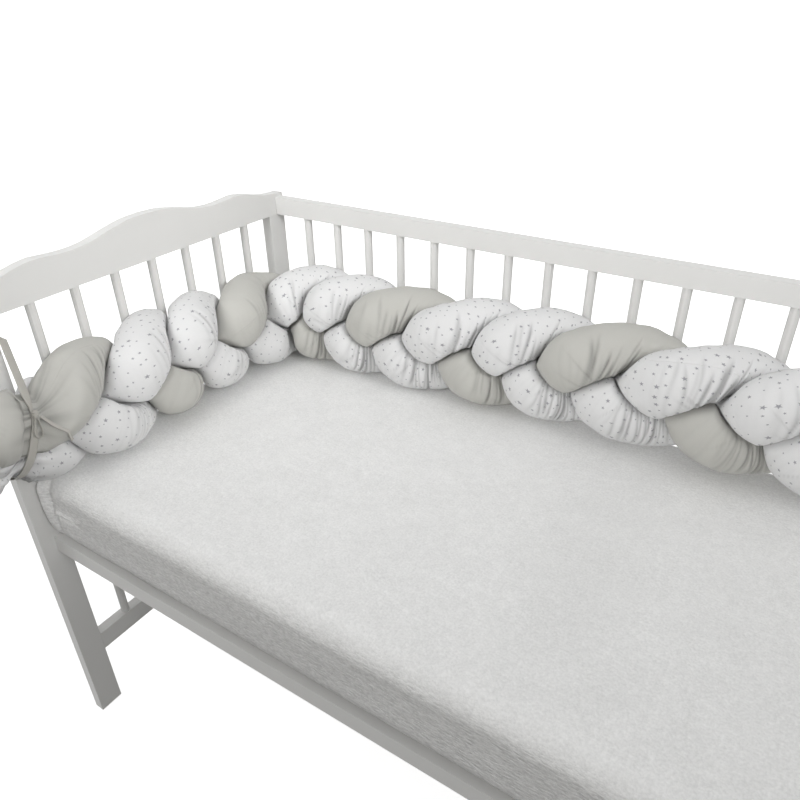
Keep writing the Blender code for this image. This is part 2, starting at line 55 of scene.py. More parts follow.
import bmesh
import bpy
import numpy as np
from bpy.props import FloatProperty, FloatVectorProperty, PointerProperty
from mathutils import Matrix, Vector
from mathutils.bvhtree import BVHTree

BODY = "root"

# The crib's own corner: inner face of the left end, inner face of the back side, floor.
CORNER = np.array([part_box("left_back_post")[1].x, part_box("back_top_rail")[0].y, 0.0])
INNER_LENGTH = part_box("right_back_post")[0].x - CORNER[0]
SHEET_LOW, SHEET_HIGH = (np.array(corner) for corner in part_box("mattress_with_sheet"))
SHEET_TOP = SHEET_HIGH[2]

# ---- the plait
STRANDS = ("grey_strand", "star_strand_1", "star_strand_2")
STRAND_RADIUS = 0.0480
MOST_SWELL = 1.08           # how far a strand that is pressed on one side swells elsewhere
PRESS_SHARPNESS = 9.0       # how suddenly a strand goes from round to pressed flat
LEAST_RADIUS = 0.003
ROUND_END = 0.034           # length of a strand's round end
NEIGHBOUR_REACH = 0.16      # along the plait, how far neighbours are looked for
WALL_DISTANCE = 0.0550      # from the spindles' plane to the plait's middle
BEND_RADIUS = 0.085         # of the plait's middle in the corner
STRAND_GAP = 0.0006         # between neighbouring strands
WALL_GAP = 0.0006           # between a strand and the crib
REST_GAP = 0.0004           # between a strand and the sheet
LEFT_START = -0.600         # y of station zero
RING_TURN = 0.25            # share of the weave that the rings follow
STRAND_ROWS = 1480
STRAND_SIDES = 64
RING_ANGLES = 2 * math.pi * np.arange(STRAND_SIDES) / STRAND_SIDES

# Where the lengthwise seam of each strand lies: a length of cloth along it, the
# side of the strand there, and the metres it drifts round for each metre on.
SEAMS = ((0.21, 50.5, 0.09), (2.29, 55.5, 0.25), (0.5, 20.0, 0.0))

# Where in its turn round the plait, in degrees, a strand is gathered, how far to
# each side of that, and how strongly. Its crest is at 90 degrees.
GATHERED = ((98, 40, 1.1), (265, 31, 1.1), (325, 45, 0.4))
LEAST_GATHERED = 0.07
# The puckers there: each range is the least and the most of it, in metres.
PUCKER_SPACING = (0.0046, 0.0090)
PUCKER_WIDTH = (0.0013, 0.0023)
SHALLOW_PUCKER = (0.0016, 0.0032)
DEEP_PUCKER = (0.0036, 0.0054)
SHALLOW_SHARE = 0.65
PUCKER_BEGINS = (-0.75, 0.40)           # how far round the strand, -1 outside and 1 inside
MOST_PUCKER = 0.0056
UPPER_SLANT = 0.021                     # metres along for each radian round, at the crest
LONG_FOLDS = ((66, 5), (236, 3))        # phase round which they lie, how many
MOST_FOLD = 0.0064                      # puckers and long folds together
# The folds that run out of a tie: how many round the strand, how far they reach.
PLEATS = ((6, 0.034), (11, 0.025))
PLEAT_DEPTH = 0.0034
# The hollows of a hand-stuffed tube: length of a wave, how many waves round.
HOLLOWS = ((0.170, 1), (0.110, 2), (0.073, 2), (0.052, 3), (0.037, 4))
HOLLOW_DEPTH = 0.0011
FOLD_PAINTED_SHADE = "fold_shade"               # painted shade: how much darker the cloth's colour is made in its folds
FOLD_DARKEST = 0.0042                   # depth of a fold at which that painted shade is darkest

# Stations, in metres along the plait, where a strand is at its highest: grey,
# first star strand and second star strand in turn.
CREST_STATIONS = (
    0.080, 0.208, 0.311, 0.435, 0.572, 0.672, 0.782,
    0.921, 1.035, 1.158, 1.305, 1.430, 1.555,
)
# Station and share of a turn before the first crest, where the strands leave
# the left tie and its loose end almost without a twist.
START_TURNS = ((-0.110, -0.28), (-0.045, -0.30), (0.020, -0.39))

# How the plait stands along its length, in metres.
# station, height, climb, weave, nearer
PLAIT_STANCE = (
    (-0.110, 0.0990, 0.0440, 0.0240, 0.002),
    (0.000, 0.0990, 0.0440, 0.0240, 0.003),
    (0.120, 0.0930, 0.0420, 0.0240, 0.003),
    (0.260, 0.0970, 0.0395, 0.0240, 0.006),
    (0.460, 0.0845, 0.0395, 0.0240, 0.006),
    (0.620, 0.0880, 0.0395, 0.0240, 0.002),
    (0.800, 0.0845, 0.0395, 0.0240, 0.006),
    (1.050, 0.0975, 0.0395, 0.0240, 0.010),
    (1.350, 0.1010, 0.0395, 0.0240, 0.007),
    (1.650, 0.1010, 0.0395, 0.0240, 0.006),
)
LEFT_TIE_STATION = -0.028
RIGHT_TIE_STATION = 1.560
TAIL_LENGTH = 0.075
TIE_TILT = math.radians(24)
TIES = ((LEFT_TIE_STATION, TIE_TILT), (RIGHT_TIE_STATION, -TIE_TILT))
NECK_HALF_DEPTH = 0.043
NECK_HALF_HEIGHT = 0.060
NECK_HALF_LENGTH = 0.012
NECK_FLARE = 0.050
NECK_SWELL = 1.8
NECK_SHARE = 0.62           # share of its climb and weave that a strand keeps at a tie

# ---- the ties
TAPE_WIDTH = 0.012
TAPE_THICKNESS = 0.0013
TAPE_STEPS = 9              # points across it
TAPE_RIB = 0.0011
WOOD_CLEARANCE = 0.0012
CLOTH_CLEARANCE = 0.0020
KNOT_ANGLE = math.radians(-39)
KNOT_SIZE = (0.012, 0.0105, 0.0085)     # down, along the plait, outwards
KNOT_REACH = math.radians(38)           # on each side of it, where the tape is drawn together
BOW_LENGTH = 0.026
BOW_SPREAD = 0.0042
BOW_WIDTH = 0.0036
BOW_SAG = 0.0015            # by which its middle lies nearer to the cloth
BOW_SEAT = 0.0006           # between a bow loop and its knot
KNOT_STAND = 0.0018         # between the strap's outside and a knot's inner side
END_LENGTH = 0.060
END_WIDTH = 0.0055
END_SWING = (52, 40)        # degrees from across towards down, at the knot and at its end
END_LIFT = 0.0029           # of its middle line above the cloth
END_STEPS = 40
CLOTH_SEARCH = 0.07         # how far to each side of it the cloth is looked for

# ---- the fitted sheet
SHEET_ROUNDING = 0.032      # of its top and bottom edges
SHEET_CORNER = 0.014        # of its upright corners
CORNER_SEAM = 0.0305        # from the end of the mattress to the seam of a corner pocket
SEAM_DEPTH = 0.0060
ROLL_HEIGHT = 0.0060        # of the slack cloth beyond the seam
POCKET_FOLD = 0.0685        # height of the short fold above the mattress's underside


# ---- mesh helpers
def mesh_object(name, points, faces, uv=None):
    """A mesh object; uv holds one place for each corner of each face, in order."""
    mesh = bpy.data.meshes.new(name)
    mesh.from_pydata(np.asarray(points, float).tolist(), [], [list(map(int, f)) for f in faces])
    if uv is not None:
        layer = mesh.uv_layers.new(name="UVMap")
        layer.data.foreach_set("uv", np.asarray(uv, np.float32).ravel())
    mesh.validate(verbose=False)
    mesh.shade_smooth()
    return linked(name, mesh)


def tube_faces(rows, sides, closed=False):
    """Quads of a tube of rings, as an array of corner numbers; closed joins its last ring to its first."""
    row, side = np.meshgrid(np.arange(rows if closed else rows - 1), np.arange(sides), indexing="ij")
    beside, after = (side + 1) % sides, (row + 1) % rows
    quads = np.stack([
        row * sides + side, row * sides + beside, after * sides + beside, after * sides + side,
    ], axis=-1)
    return quads.reshape(-1, 4)


def tube_uv(along, around):
    """Cloth coordinates of those quads, from a length for each ring and side and a length round the tube."""
    rows, sides = along.shape[0] - 1, along.shape[1] - 1
    row, side = np.meshgrid(np.arange(rows), np.arange(sides), indexing="ij")
    corners = [
        np.stack([along[row + a, side + b], around[side + b]], axis=-1)
        for a, b in ((0, 0), (0, 1), (1, 1), (1, 0))
    ]
    return np.stack(corners, axis=2).reshape(-1, 4, 2)


def linked(name, data):
    """A new object in the scene."""
    made = bpy.data.objects.new(name, data)
    bpy.context.scene.collection.objects.link(made)
    return made


def unit(ways):
    return ways / np.linalg.norm(ways, axis=-1, keepdims=True)


def run_along(points):
    """Length of a line up to each of its points."""
    steps = np.linalg.norm(np.diff(points, axis=0), axis=1)
    return np.concatenate([[0.0], np.cumsum(steps)])


def wrapped(angle):
    """An angle as one between minus and plus half a turn."""
    return (angle + math.pi) % (2 * math.pi) - math.pi


def ramp(values, start, end):
    """0 before start, 1 after end, and a smooth curve between."""
    share = np.clip((values - start) / (end - start), 0, 1)
    return share * share * (3 - 2 * share)


def finish_piece(made, material, nodes=()):
    """Gives a piece its material and its body, and hides the solids it stands for."""
    made.data.materials.append(material)
    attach(made, BODY)
    if nodes:
        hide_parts(*nodes)
    return made


# ---- material helpers
def new_material(name, colour, roughness):
    made = bpy.data.materials.new(name)
    made.use_nodes = True
    shader = made.node_tree.nodes["Principled BSDF"]
    shader.inputs["Base Color"].default_value = (*colour, 1.0)
    shader.inputs["Roughness"].default_value = roughness
    return made, made.node_tree, shader


def add(tree, kind, settings=None, inputs=None):
    """One shader node, with its settings and its inputs set or linked."""
    made = tree.nodes.new("ShaderNode" + kind)
    for key, value in (settings or {}).items():
        setattr(made, key, value)
    for key, value in (inputs or {}).items():
        if isinstance(value, bpy.types.NodeSocket):
            tree.links.new(value, made.inputs[key])
        else:
            made.inputs[key].default_value = value
    return made


def calc(tree, operation, *values):
    inputs = dict(enumerate(values))
    return add(tree, "Math", {"operation": operation}, inputs).outputs[0]


def noise(tree, place, scale, detail=3.0, roughness=0.55):
    inputs = {"Vector": place, "Scale": scale, "Detail": detail, "Roughness": roughness}
    return add(tree, "TexNoise", None, inputs).outputs["Fac"]


def stretched(tree, place, factors):
    """A place scaled by its own factor along each axis."""
    inputs = {0: place, 1: factors}
    return add(tree, "VectorMath", {"operation": "MULTIPLY"}, inputs).outputs[0]


def axes(tree, place):
    return add(tree, "SeparateXYZ", None, {0: place}).outputs


def mapped(tree, value, low, high, to_low=0.0, to_high=1.0, smooth=False):
    """A value between low and high as one between to_low and to_high."""
    settings = {"interpolation_type": "SMOOTHSTEP" if smooth else "LINEAR"}
    inputs = {"Value": value, "From Min": low, "From Max": high, "To Min": to_low, "To Max": to_high}
    return add(tree, "MapRange", settings, inputs).outputs[0]


def shaded(tree, amount, first, second):
    """A mix of two colours, each of them a colour or a socket."""
    first, second = (
        end if isinstance(end, bpy.types.NodeSocket) else (*end, 1.0) for end in (first, second)
    )
    inputs = {0: amount, 6: first, 7: second}
    return add(tree, "Mix", {"data_type": "RGBA"}, inputs).outputs[2]


def bumped(tree, shader, height, distance, below=None, strength=1.0):
    """Relief on a shader, laid over an earlier relief if there is one."""
    inputs = {"Height": height, "Distance": distance, "Strength": strength}
    made = add(tree, "Bump", None, inputs)
    if below is not None:
        tree.links.new(below, made.inputs["Normal"])
    tree.links.new(made.outputs["Normal"], shader.inputs["Normal"])
    return made.outputs["Normal"]


def tinted(colour, share):
    return tuple(min(1.0, c * share) for c in colour)


def two_tone(tree, amount, colour, dark, light):
    """A colour that varies between two shares of itself."""
    return shaded(tree, amount, tinted(colour, dark), tinted(colour, light))


# ---- materials
def paint_material(settings):
    made, tree, shader = new_material("white paint", settings.paint_colour, 0.42)
    place = add(tree, "TexCoord").outputs["Object"]
    clouds = noise(tree, place, 9.0, 4.0)
    colour = two_tone(tree, clouds, settings.paint_colour, 0.965, 1.02)
    tree.links.new(colour, shader.inputs["Base Color"])
    brush = noise(tree, stretched(tree, place, (40.0, 40.0, 260.0)), 1.0, 2.0)
    tree.links.new(mapped(tree, clouds, 0.0, 1.0, 0.36, 0.5), shader.inputs["Roughness"])
    bumped(tree, shader, brush, 0.0004, strength=0.25)
    return made


def weave(tree, shader, place, thread):
    """Relief of a plain weave: over and under threads, with a few thicker ones."""
    per_metre = 2 * math.pi / (2 * thread)
    warp, weft = (
        calc(tree, "SINE", calc(tree, "MULTIPLY", axis, per_metre)) for axis in axes(tree, place)[:2]
    )
    over = calc(tree, "MULTIPLY", warp, weft)
    slub_u = noise(tree, stretched(tree, place, (90.0, 1400.0, 1.0)), 1.0, 2.0)
    slub_v = noise(tree, stretched(tree, place, (1400.0, 90.0, 1.0)), 1.0, 2.0)
    slubs = calc(tree, "ADD", slub_u, slub_v)
    first = bumped(tree, shader, over, thread * 0.3, strength=0.5)
    bumped(tree, shader, slubs, 0.0005, below=first, strength=0.45)
    return slubs


def seam_relief(tree, shader, place):
    """A seam that runs along the tube, where its cloth coordinate round it is nought."""
    away = calc(tree, "ABSOLUTE", axes(tree, place)[1])
    ridge = mapped(tree, away, 0.0, 0.0022, -1.0, 0.0, smooth=True)
    below = shader.inputs["Normal"].links[0].from_socket
    bumped(tree, shader, ridge, 0.0010, below=below, strength=0.5)


def cotton_material(name, colour, settings):
    """Plain woven cotton; its cloth coordinates are in metres."""
    made, tree, shader = new_material(name, colour, 0.88)
    place = add(tree, "UVMap", {"uv_map": "UVMap"}).outputs[0]
    slubs = weave(tree, shader, place, settings.thread)
    seam_relief(tree, shader, place)
    clouds = noise(tree, place, 14.0, 3.0)
    mixed = calc(tree, "ADD", calc(tree, "MULTIPLY", slubs, 0.35), calc(tree, "MULTIPLY", clouds, 0.45))
    # Painted shade: the colour darkens towards 60 % of itself in the strand's folds and puckers, by the fold
    # depth kept on its points.
    fold = add(tree, "Attribute", {"attribute_name": FOLD_PAINTED_SHADE}).outputs["Fac"]
    base = shaded(tree, fold, two_tone(tree, mixed, colour, 0.93, 1.06), tinted(colour, 0.60))
    tree.links.new(base, shader.inputs["Base Color"])
    shader.inputs["Sheen Weight"].default_value = 0.12
    shader.inputs["Sheen Roughness"].default_value = 0.5
    shader.inputs["Specular IOR Level"].default_value = 0.25
    return made, tree, shader, place, base


def star_mask(tree, place, spacing, smallest, largest):
    """1 inside small five-pointed stars that are strewn over the cloth, turned every way."""
    cells = add(
        tree, "TexVoronoi", {"voronoi_dimensions": "2D"},
        {"Vector": place, "Scale": 1 / spacing, "Randomness": 0.62},
    )
    away = add(
        tree, "VectorMath", {"operation": "SUBTRACT"},
        {0: place, 1: cells.outputs["Position"]},
    )
    x, y, _ = axes(tree, away.outputs[0])
    chance = add(tree, "SeparateColor", None, {0: cells.outputs["Color"]})
    spin = calc(tree, "MULTIPLY", chance.outputs[0], 2 * math.pi)
    angle = calc(tree, "ADD", calc(tree, "ARCTAN2", y, x), spin)
    fold = calc(tree, "PINGPONG", angle, math.pi / 5)
    share = calc(tree, "POWER", chance.outputs[1], 2.2)
    reach = calc(tree, "MULTIPLY_ADD", share, largest - smallest, smallest)
    radius = calc(tree, "DIVIDE", add(
        tree, "VectorMath", {"operation": "LENGTH"}, {0: away.outputs[0]},
    ).outputs["Value"], reach)
    along = calc(tree, "MULTIPLY", radius, calc(tree, "COSINE", fold))
    across = calc(tree, "MULTIPLY", radius, calc(tree, "SINE", fold))
    # Distance inside the straight edge from a point of the star to the next notch.
    edge = calc(tree, "SUBTRACT", 0.350, calc(tree, "MULTIPLY", along, 0.350))
    edge = calc(tree, "SUBTRACT", edge, calc(tree, "MULTIPLY", across, 0.936))
    return mapped(tree, edge, -0.04, 0.06)


def star_material(settings):
    ground = settings.star_cloth_colour
    made, tree, shader, place, base = cotton_material("star print cotton", ground, settings)
    mask = star_mask(tree, place, settings.star_spacing, settings.star_smallest, settings.star_largest)
    tree.links.new(shaded(tree, mask, base, settings.star_colour), shader.inputs["Base Color"])
    return made


def terry_material(settings):
    made, tree, shader = new_material("terry sheet", settings.sheet_colour, 1.0)
    place = add(tree, "TexCoord").outputs["Object"]
    loops = add(
        tree, "TexVoronoi", {"feature": "SMOOTH_F1"},
        {"Vector": place, "Scale": 1 / settings.loop_size, "Smoothness": 0.6},
    ).outputs["Distance"]
    # Courses of loops lie level along the sides, and barely show on the flat top.
    courses = noise(tree, stretched(tree, place, (110.0, 110.0, 330.0)), 1.0, 2.5, 0.6)
    height = axes(tree, place)[2]
    side = mapped(tree, height, SHEET_TOP - 0.034, SHEET_TOP - 0.006, 1.0, 0.22, smooth=True)
    clouds = noise(tree, place, 30.0, 5.0, 0.62)
    grain = noise(tree, place, 330.0, 2.0, 0.7)
    level = calc(tree, "MULTIPLY", calc(tree, "SUBTRACT", courses, 0.5), calc(tree, "MULTIPLY", side, 0.85))
    mixed = calc(tree, "ADD", calc(tree, "MULTIPLY", grain, 0.46), calc(tree, "MULTIPLY", clouds, 0.16))
    mixed = mapped(tree, calc(tree, "ADD", mixed, level), 0.13, 0.47)
    colour = two_tone(tree, mixed, settings.sheet_colour, 0.84, 1.11)
    tree.links.new(colour, shader.inputs["Base Color"])
    courses = calc(tree, "MULTIPLY", courses, side)
    first = bumped(tree, shader, loops, 0.0007, strength=0.4)
    bumped(tree, shader, courses, 0.0028, below=first, strength=0.8)
    shader.inputs["Sheen Weight"].default_value = 0.15
    shader.inputs["Specular IOR Level"].default_value = 0.05
    return made


def tape_material(settings):
    made, tree, shader, place, _ = cotton_material("tie tape", settings.tape_colour, settings)
    ribs = calc(tree, "SINE", calc(tree, "MULTIPLY", axes(tree, place)[0], 2 * math.pi / TAPE_RIB))
    bumped(tree, shader, ribs, 0.0003, strength=0.5)
    return made


# ---- plait shape
def eased(at, stops, values):
    """Values on a smooth curve through the values at the stops."""
    stops, values = np.asarray(stops), np.asarray(values)
    at = np.clip(at, stops[0], stops[-1])
    i = np.clip(np.searchsorted(stops, at, side="right") - 1, 0, len(stops) - 2)
    slopes = np.gradient(values, stops)
    width = stops[i + 1] - stops[i]
    t = (at - stops[i]) / width
    return (
        (2 * t ** 3 - 3 * t ** 2 + 1) * values[i]
        + (t ** 3 - 2 * t ** 2 + t) * width * slopes[i]
        + (3 * t ** 2 - 2 * t ** 3) * values[i + 1]
        + (t ** 3 - t ** 2) * width * slopes[i + 1]
    )


def stance(stations):
    """Height, climb, weave and nearness of the plait at its stations."""
    table = np.array(PLAIT_STANCE)
    return [eased(stations, table[:, 0], table[:, k]) for k in range(1, 5)]


def turns(stations):
    """How many crests lie before a station, the grey one by the left tie being 0."""
    stops = np.array([row[0] for row in START_TURNS] + list(CREST_STATIONS))
    order = np.array([row[1] for row in START_TURNS] + list(range(len(CREST_STATIONS))))
    beyond = np.maximum(stations - stops[-1], 0) / (stops[-1] - stops[-2])
    return eased(stations, stops, order) + beyond


def middle_line(stations):
    """Middle of the plait, its direction and its way out from the crib."""
    straight = -WALL_DISTANCE - BEND_RADIUS - LEFT_START
    turned = straight + BEND_RADIUS * math.pi / 2
    a = np.clip((stations - straight) / BEND_RADIUS, 0, math.pi / 2)
    flat = np.zeros_like(a)
    out = np.stack([np.cos(a), -np.sin(a), flat], axis=-1)
    along = np.stack([np.sin(a), np.cos(a), flat], axis=-1)
    height, _, _, nearer = stance(stations)
    past = np.minimum(stations - straight, 0) + np.maximum(stations - turned, 0)
    hub = np.array([WALL_DISTANCE + BEND_RADIUS, -WALL_DISTANCE - BEND_RADIUS, SHEET_TOP])
    spot = hub - (BEND_RADIUS + nearer)[..., None] * out + past[..., None] * along
    spot[..., 2] += height
    return spot, along, out


def gather(stations):
    """1 where the plait is free, falling to a share at the ties."""
    near = np.minimum(np.abs(stations - LEFT_TIE_STATION), np.abs(stations - RIGHT_TIE_STATION))
    ease = np.minimum(near / NECK_FLARE, 1.0)
    return NECK_SHARE + (1 - NECK_SHARE) * ease * ease * (3 - 2 * ease)


def centre_line(strand, stations, weave_share=1.0):
    """Points of one strand's centre line."""
    middle, _, out = middle_line(stations)
    angle = 2 * math.pi * (turns(stations) - strand) / 3 + math.pi / 2
    _, climb, weave_depth, _ = stance(stations)
    share = gather(stations)
    found = middle + out * (share * weave_share * weave_depth * np.sin(2 * angle))[..., None]
    found[..., 2] += share * climb * np.sin(angle)
    return found


def tie_plane(station, tilt):
    """Middle of the plane in which a tape runs round the plait, its normal and its ways out and up."""
    middle, along, out = (v[0] for v in middle_line(np.array([station])))
    normal = along * math.cos(tilt) - np.array([0, 0, math.sin(tilt)])
    return middle, normal, out, np.cross(normal, out)


def squeeze_limit(own, ways, limit):
    """Shortens the reach of each way to where a tape lets the cloth go."""
    steps = np.linspace(0.0, 0.075, 101)
    for station, tilt in TIES:
        middle, normal, out, side = tie_plane(station, tilt)
        rows = np.flatnonzero(np.linalg.norm(own - middle, axis=1) < 2.6 * NECK_FLARE)
        away = own[rows, None, None] + ways[rows, :, None] * steps[:, None] - middle
        reach = np.abs(away @ normal)
        size = np.hypot(away @ out / NECK_HALF_DEPTH, away @ side / NECK_HALF_HEIGHT)
        swell = np.clip((reach - NECK_HALF_LENGTH) / NECK_FLARE, 0, None)
        held = (size >= 1 + NECK_SWELL * swell) & (reach < 2 * NECK_FLARE)
        held[..., 0] = False
        stop = np.where(held.any(axis=2), steps[np.maximum(np.argmax(held, axis=2) - 1, 1)], 1.0)
        limit[rows] = np.minimum(limit[rows], stop)
    return limit


def wall_limit(own, ways, limit):
    """Shortens the reach of each way to the crib's faces and to the sheet."""
    faces = (
        (0, -1, WALL_GAP), (0, 1, INNER_LENGTH - WALL_GAP), (1, 1, -WALL_GAP),
        (2, -1, SHEET_TOP + REST_GAP),
    )
    for axis, heading, where in faces:
        toward = heading * ways[..., axis]
        room = heading * (where - own[:, None, axis])
        limit = np.where(toward > 1e-6, np.minimum(limit, room / np.maximum(toward, 1e-6)), limit)
    return limit


def gathered(strand, stations):
    """How strongly the cloth of a strand is gathered, from 0 to 1."""
    theta = 360 * (turns(stations) - strand) / 3 + 90
    strength = np.full(len(stations), LEAST_GATHERED)
    for place, reach, most in GATHERED:
        away = (theta - place + 180) % 360 - 180
        strength = np.maximum(strength, most * np.exp(-((away / reach) ** 2)))
    for station, _ in TIES:
        strength = strength * ramp(np.abs(stations - station), 0.03, 0.16)
    return strength


def pressed(radius, limit):
    """The radius, kept smoothly under a limit."""
    return (radius ** -PRESS_SHARPNESS + limit ** -PRESS_SHARPNESS) ** (-1 / PRESS_SHARPNESS)


def strand_surface(strand):
    """Rings of one stuffed strand, with the cloth's own length at each point."""
    start, end = LEFT_TIE_STATION - TAIL_LENGTH, RIGHT_TIE_STATION + TAIL_LENGTH
    fine = np.linspace(start, end, 4000)
    run = run_along(centre_line(strand, fine))
    # Rows stand closer where the strand is gathered.
    dense = np.cumsum((0.5 + 1.6 * gathered(strand, fine)) * np.gradient(run))
    rows = np.interp(np.linspace(dense[0], dense[-1], STRAND_ROWS), dense, run)
    stations = np.interp(rows, run, fine)
    own = centre_line(strand, stations)
    tangent = unit(np.gradient(own, rows, axis=0))
    bend = np.gradient(tangent, rows, axis=0)
    along = unit(np.gradient(centre_line(strand, stations, RING_TURN), axis=0))
    _, _, out = middle_line(stations)
    first = unit(out - along * (out * along).sum(axis=1)[:, None])
    second = np.cross(along, first)
    turn = RING_ANGLES[:, None]
    ways = np.cos(turn) * first[:, None] + np.sin(turn) * second[:, None]

    limit = np.full(ways.shape[:2], 1.0)
    window = np.linspace(-NEIGHBOUR_REACH, NEIGHBOUR_REACH, 65)
    for other in {0, 1, 2} - {strand}:
        near = centre_line(other, stations[:, None] + window) - own[:, None]
        toward = np.einsum("mnc,mpc->mnp", ways, near)
        reach = (near ** 2).sum(axis=2)[:, None] / np.maximum(2 * toward, 1e-6)
        limit = np.minimum(limit, reach.min(axis=2) - STRAND_GAP / 2)
    limit = wall_limit(own, ways, limit)
    limit = np.maximum(squeeze_limit(own, ways, limit), LEAST_RADIUS)

    # The filling keeps its section: what is pressed in bulges elsewhere.
    blunt = np.clip(np.minimum(stations - start, end - stations) / ROUND_END, 0, 1)
    radius = (STRAND_RADIUS * np.sqrt(1 - 0.96 * (1 - blunt) ** 2))[:, None]
    swollen = radius
    for _ in range(6):
        filled = np.sqrt((pressed(swollen, limit) ** 2).mean(axis=1))[:, None]
        swollen = np.minimum(swollen * radius / filled, MOST_SWELL * radius)
    r = pressed(swollen, limit)
    points = own[:, None] + ways * r[..., None]

    # Length of cloth used up to each row, measured on the outer side of the bends.
    tightness = np.linalg.norm(bend, axis=1)
    used = np.cumsum(np.diff(rows, prepend=0.0) * (1 + 0.6 * STRAND_RADIUS * np.minimum(tightness, 20.0)))
    ahead = (ways * tangent[:, None]).sum(axis=2) * r
    return points, ways, used[:, None] + ahead, stations


def gathers(strand, ways, used, stations):
    """Depth of a strand's puckers and long folds, where it turns behind its neighbour."""
    rng = np.random.default_rng(11 + strand)
    theta = 2 * math.pi * (turns(stations) - strand) / 3 + math.pi / 2
    strength = gathered(strand, stations)
    _, _, out = middle_line(stations)
    inside = 0.8 * out
    inside[:, 2] -= np.sin(theta)
    inner = (ways * unit(inside)[:, None]).sum(axis=2)
    depth = np.zeros(inner.shape)
    row_used = used.mean(axis=1)
    upper = np.clip(np.sin(theta), 0, 1)        # 1 where the strand is at its crest
    at = row_used[0]
    while at < row_used[-1]:
        at += rng.uniform(*PUCKER_SPACING)
        width = rng.uniform(*PUCKER_WIDTH)
        deep = rng.uniform(*(SHALLOW_PUCKER if rng.random() < SHALLOW_SHARE else DEEP_PUCKER))
        begins = rng.uniform(*PUCKER_BEGINS)
        lean = rng.uniform(-0.006, 0.006)
        phase = rng.uniform(0, 2 * math.pi)
        rows = slice(*np.searchsorted(row_used, (at - 0.05, at + 0.05)))
        bow = lean * np.sin(RING_ANGLES + phase) + 0.0012 * np.sin(3 * RING_ANGLES + 2 * phase)
        row = min(np.searchsorted(row_used, at), len(row_used) - 1)
        turned = wrapped(RING_ANGLES - RING_ANGLES[np.argmax(inner[row])])
        bow = bow - UPPER_SLANT * upper[row] * turned
        wide = width * (1 + 0.35 * upper[row])
        near = np.exp(-((np.abs(used[rows] - at - bow) / wide) ** 1.5))
        depth[rows] += deep * near * ramp(inner[rows] - 0.12 * upper[rows, None], begins, begins + 0.55)
    depth = np.minimum(depth, MOST_PUCKER) * strength[:, None]
    return np.minimum(depth + long_folds(strand, theta, inner, used), MOST_FOLD)


def long_folds(strand, theta, inner, used):
    """Depth of the folds that run slantwise along a strand into the place where it is pressed."""
    rng = np.random.default_rng(71 + strand)
    depth = np.zeros(inner.shape)
    row_used = used.mean(axis=1)
    for place, count in LONG_FOLDS:
        away = (np.degrees(theta) - place) % 360
        for start in np.flatnonzero((away[:-1] > 180) & (away[1:] < 180)):
            facing = RING_ANGLES[np.argmax(inner[start])]
            for _ in range(count):
                at = row_used[start] + rng.uniform(-0.030, 0.030)
                reach = rng.uniform(0.010, 0.022)
                centre = facing + rng.uniform(-0.95, 0.95)
                slant = rng.uniform(14.0, 34.0) * math.copysign(1, math.sin(math.radians(place)))
                width = rng.uniform(0.035, 0.060)
                deep = rng.uniform(0.0010, 0.0022)
                rows = slice(*np.searchsorted(row_used, (at - 0.045, at + 0.045)))
                along = row_used[rows] - at
                off = wrapped(RING_ANGLES - centre - slant * along[:, None])
                line = np.exp(-((np.abs(off) / width) ** 1.6))
                depth[rows] += deep * line * np.exp(-((along / reach) ** 2))[:, None]
    return depth


def pleats(strand, points):
    """Depth of the folds that run lengthwise out of a tie, where the tape bunches the cloth."""
    rng = np.random.default_rng(31 + strand)
    depth = np.zeros(points.shape[:2])
    for station, tilt in TIES:
        middle, normal, _, _ = tie_plane(station, tilt)
        reach = np.abs((points - middle) @ normal)
        for count, length in PLEATS:
            wave = np.cos(count * RING_ANGLES + rng.uniform(0, 2 * math.pi) + 8.0 * reach)
            valley = np.clip(wave, 0, 1) ** 4
            depth += PLEAT_DEPTH * valley * np.exp(-(reach / length) ** 2)
    return depth


def dented(strand, points, ways, used):
    """The points with the shallow hollows of a hand-stuffed tube."""
    rng = np.random.default_rng(51 + strand)
    hollow = np.zeros(used.shape)
    for wave_length, around in HOLLOWS:
        phase, other = rng.uniform(0, 2 * math.pi, 2)
        hollow += np.sin(2 * math.pi * used / wave_length + phase) * np.sin(around * RING_ANGLES + other)
    return points - ways * (HOLLOW_DEPTH * np.clip(0.5 + 0.45 * hollow, 0, 1.6))[..., None]


def strand_mesh(strand, material):
    """One strand as a closed tube, its cloth coordinates in metres."""
    points, ways, used, stations = strand_surface(strand)
    points = dented(strand, points, ways, used)
    folded = gathers(strand, ways, used, stations) + pleats(strand, points)
    points = points - ways * folded[..., None] + CORNER
    faces = tube_faces(STRAND_ROWS, STRAND_SIDES)
    seam_at, seam_side, drift = SEAMS[strand]
    around = (np.arange(STRAND_SIDES + 1) - seam_side) * (2 * math.pi * STRAND_RADIUS / STRAND_SIDES)
    uv = tube_uv(np.concatenate([used, used[:, :1]], axis=1), around)
    uv[..., 1] -= drift * (uv[..., 0] - seam_at)
    tips = [points[0].mean(axis=0), points[-1].mean(axis=0)]
    first = STRAND_ROWS * STRAND_SIDES
    base = first - STRAND_SIDES
    caps, cap_uv = [], []
    for j in range(STRAND_SIDES):
        k = (j + 1) % STRAND_SIDES
        caps.append((first, k, j))
        caps.append((first + 1, base + j, base + k))
        cap_uv += [(used[0, 0], around[j])] * 3 + [(used[-1, 0], around[j])] * 3
    all_faces = faces.tolist() + caps
    all_uv = np.concatenate([uv.reshape(-1, 2), np.array(cap_uv)])
    all_points = np.concatenate([points.reshape(-1, 3), np.array(tips)])
    made = mesh_object(STRANDS[strand] + "_cloth", all_points, all_faces, all_uv)
    # Painted shade for the folds: their depth, kept on the points for the cloth's colour to darken by.
    shade = np.append(np.clip(folded / FOLD_DARKEST, 0, 1).ravel(), (0.0, 0.0))
    made.data.attributes.new(FOLD_PAINTED_SHADE, "FLOAT", "POINT").data.foreach_set("value", shade.astype(np.float32))
    finish_piece(made, material, (STRANDS[strand],))
    return made


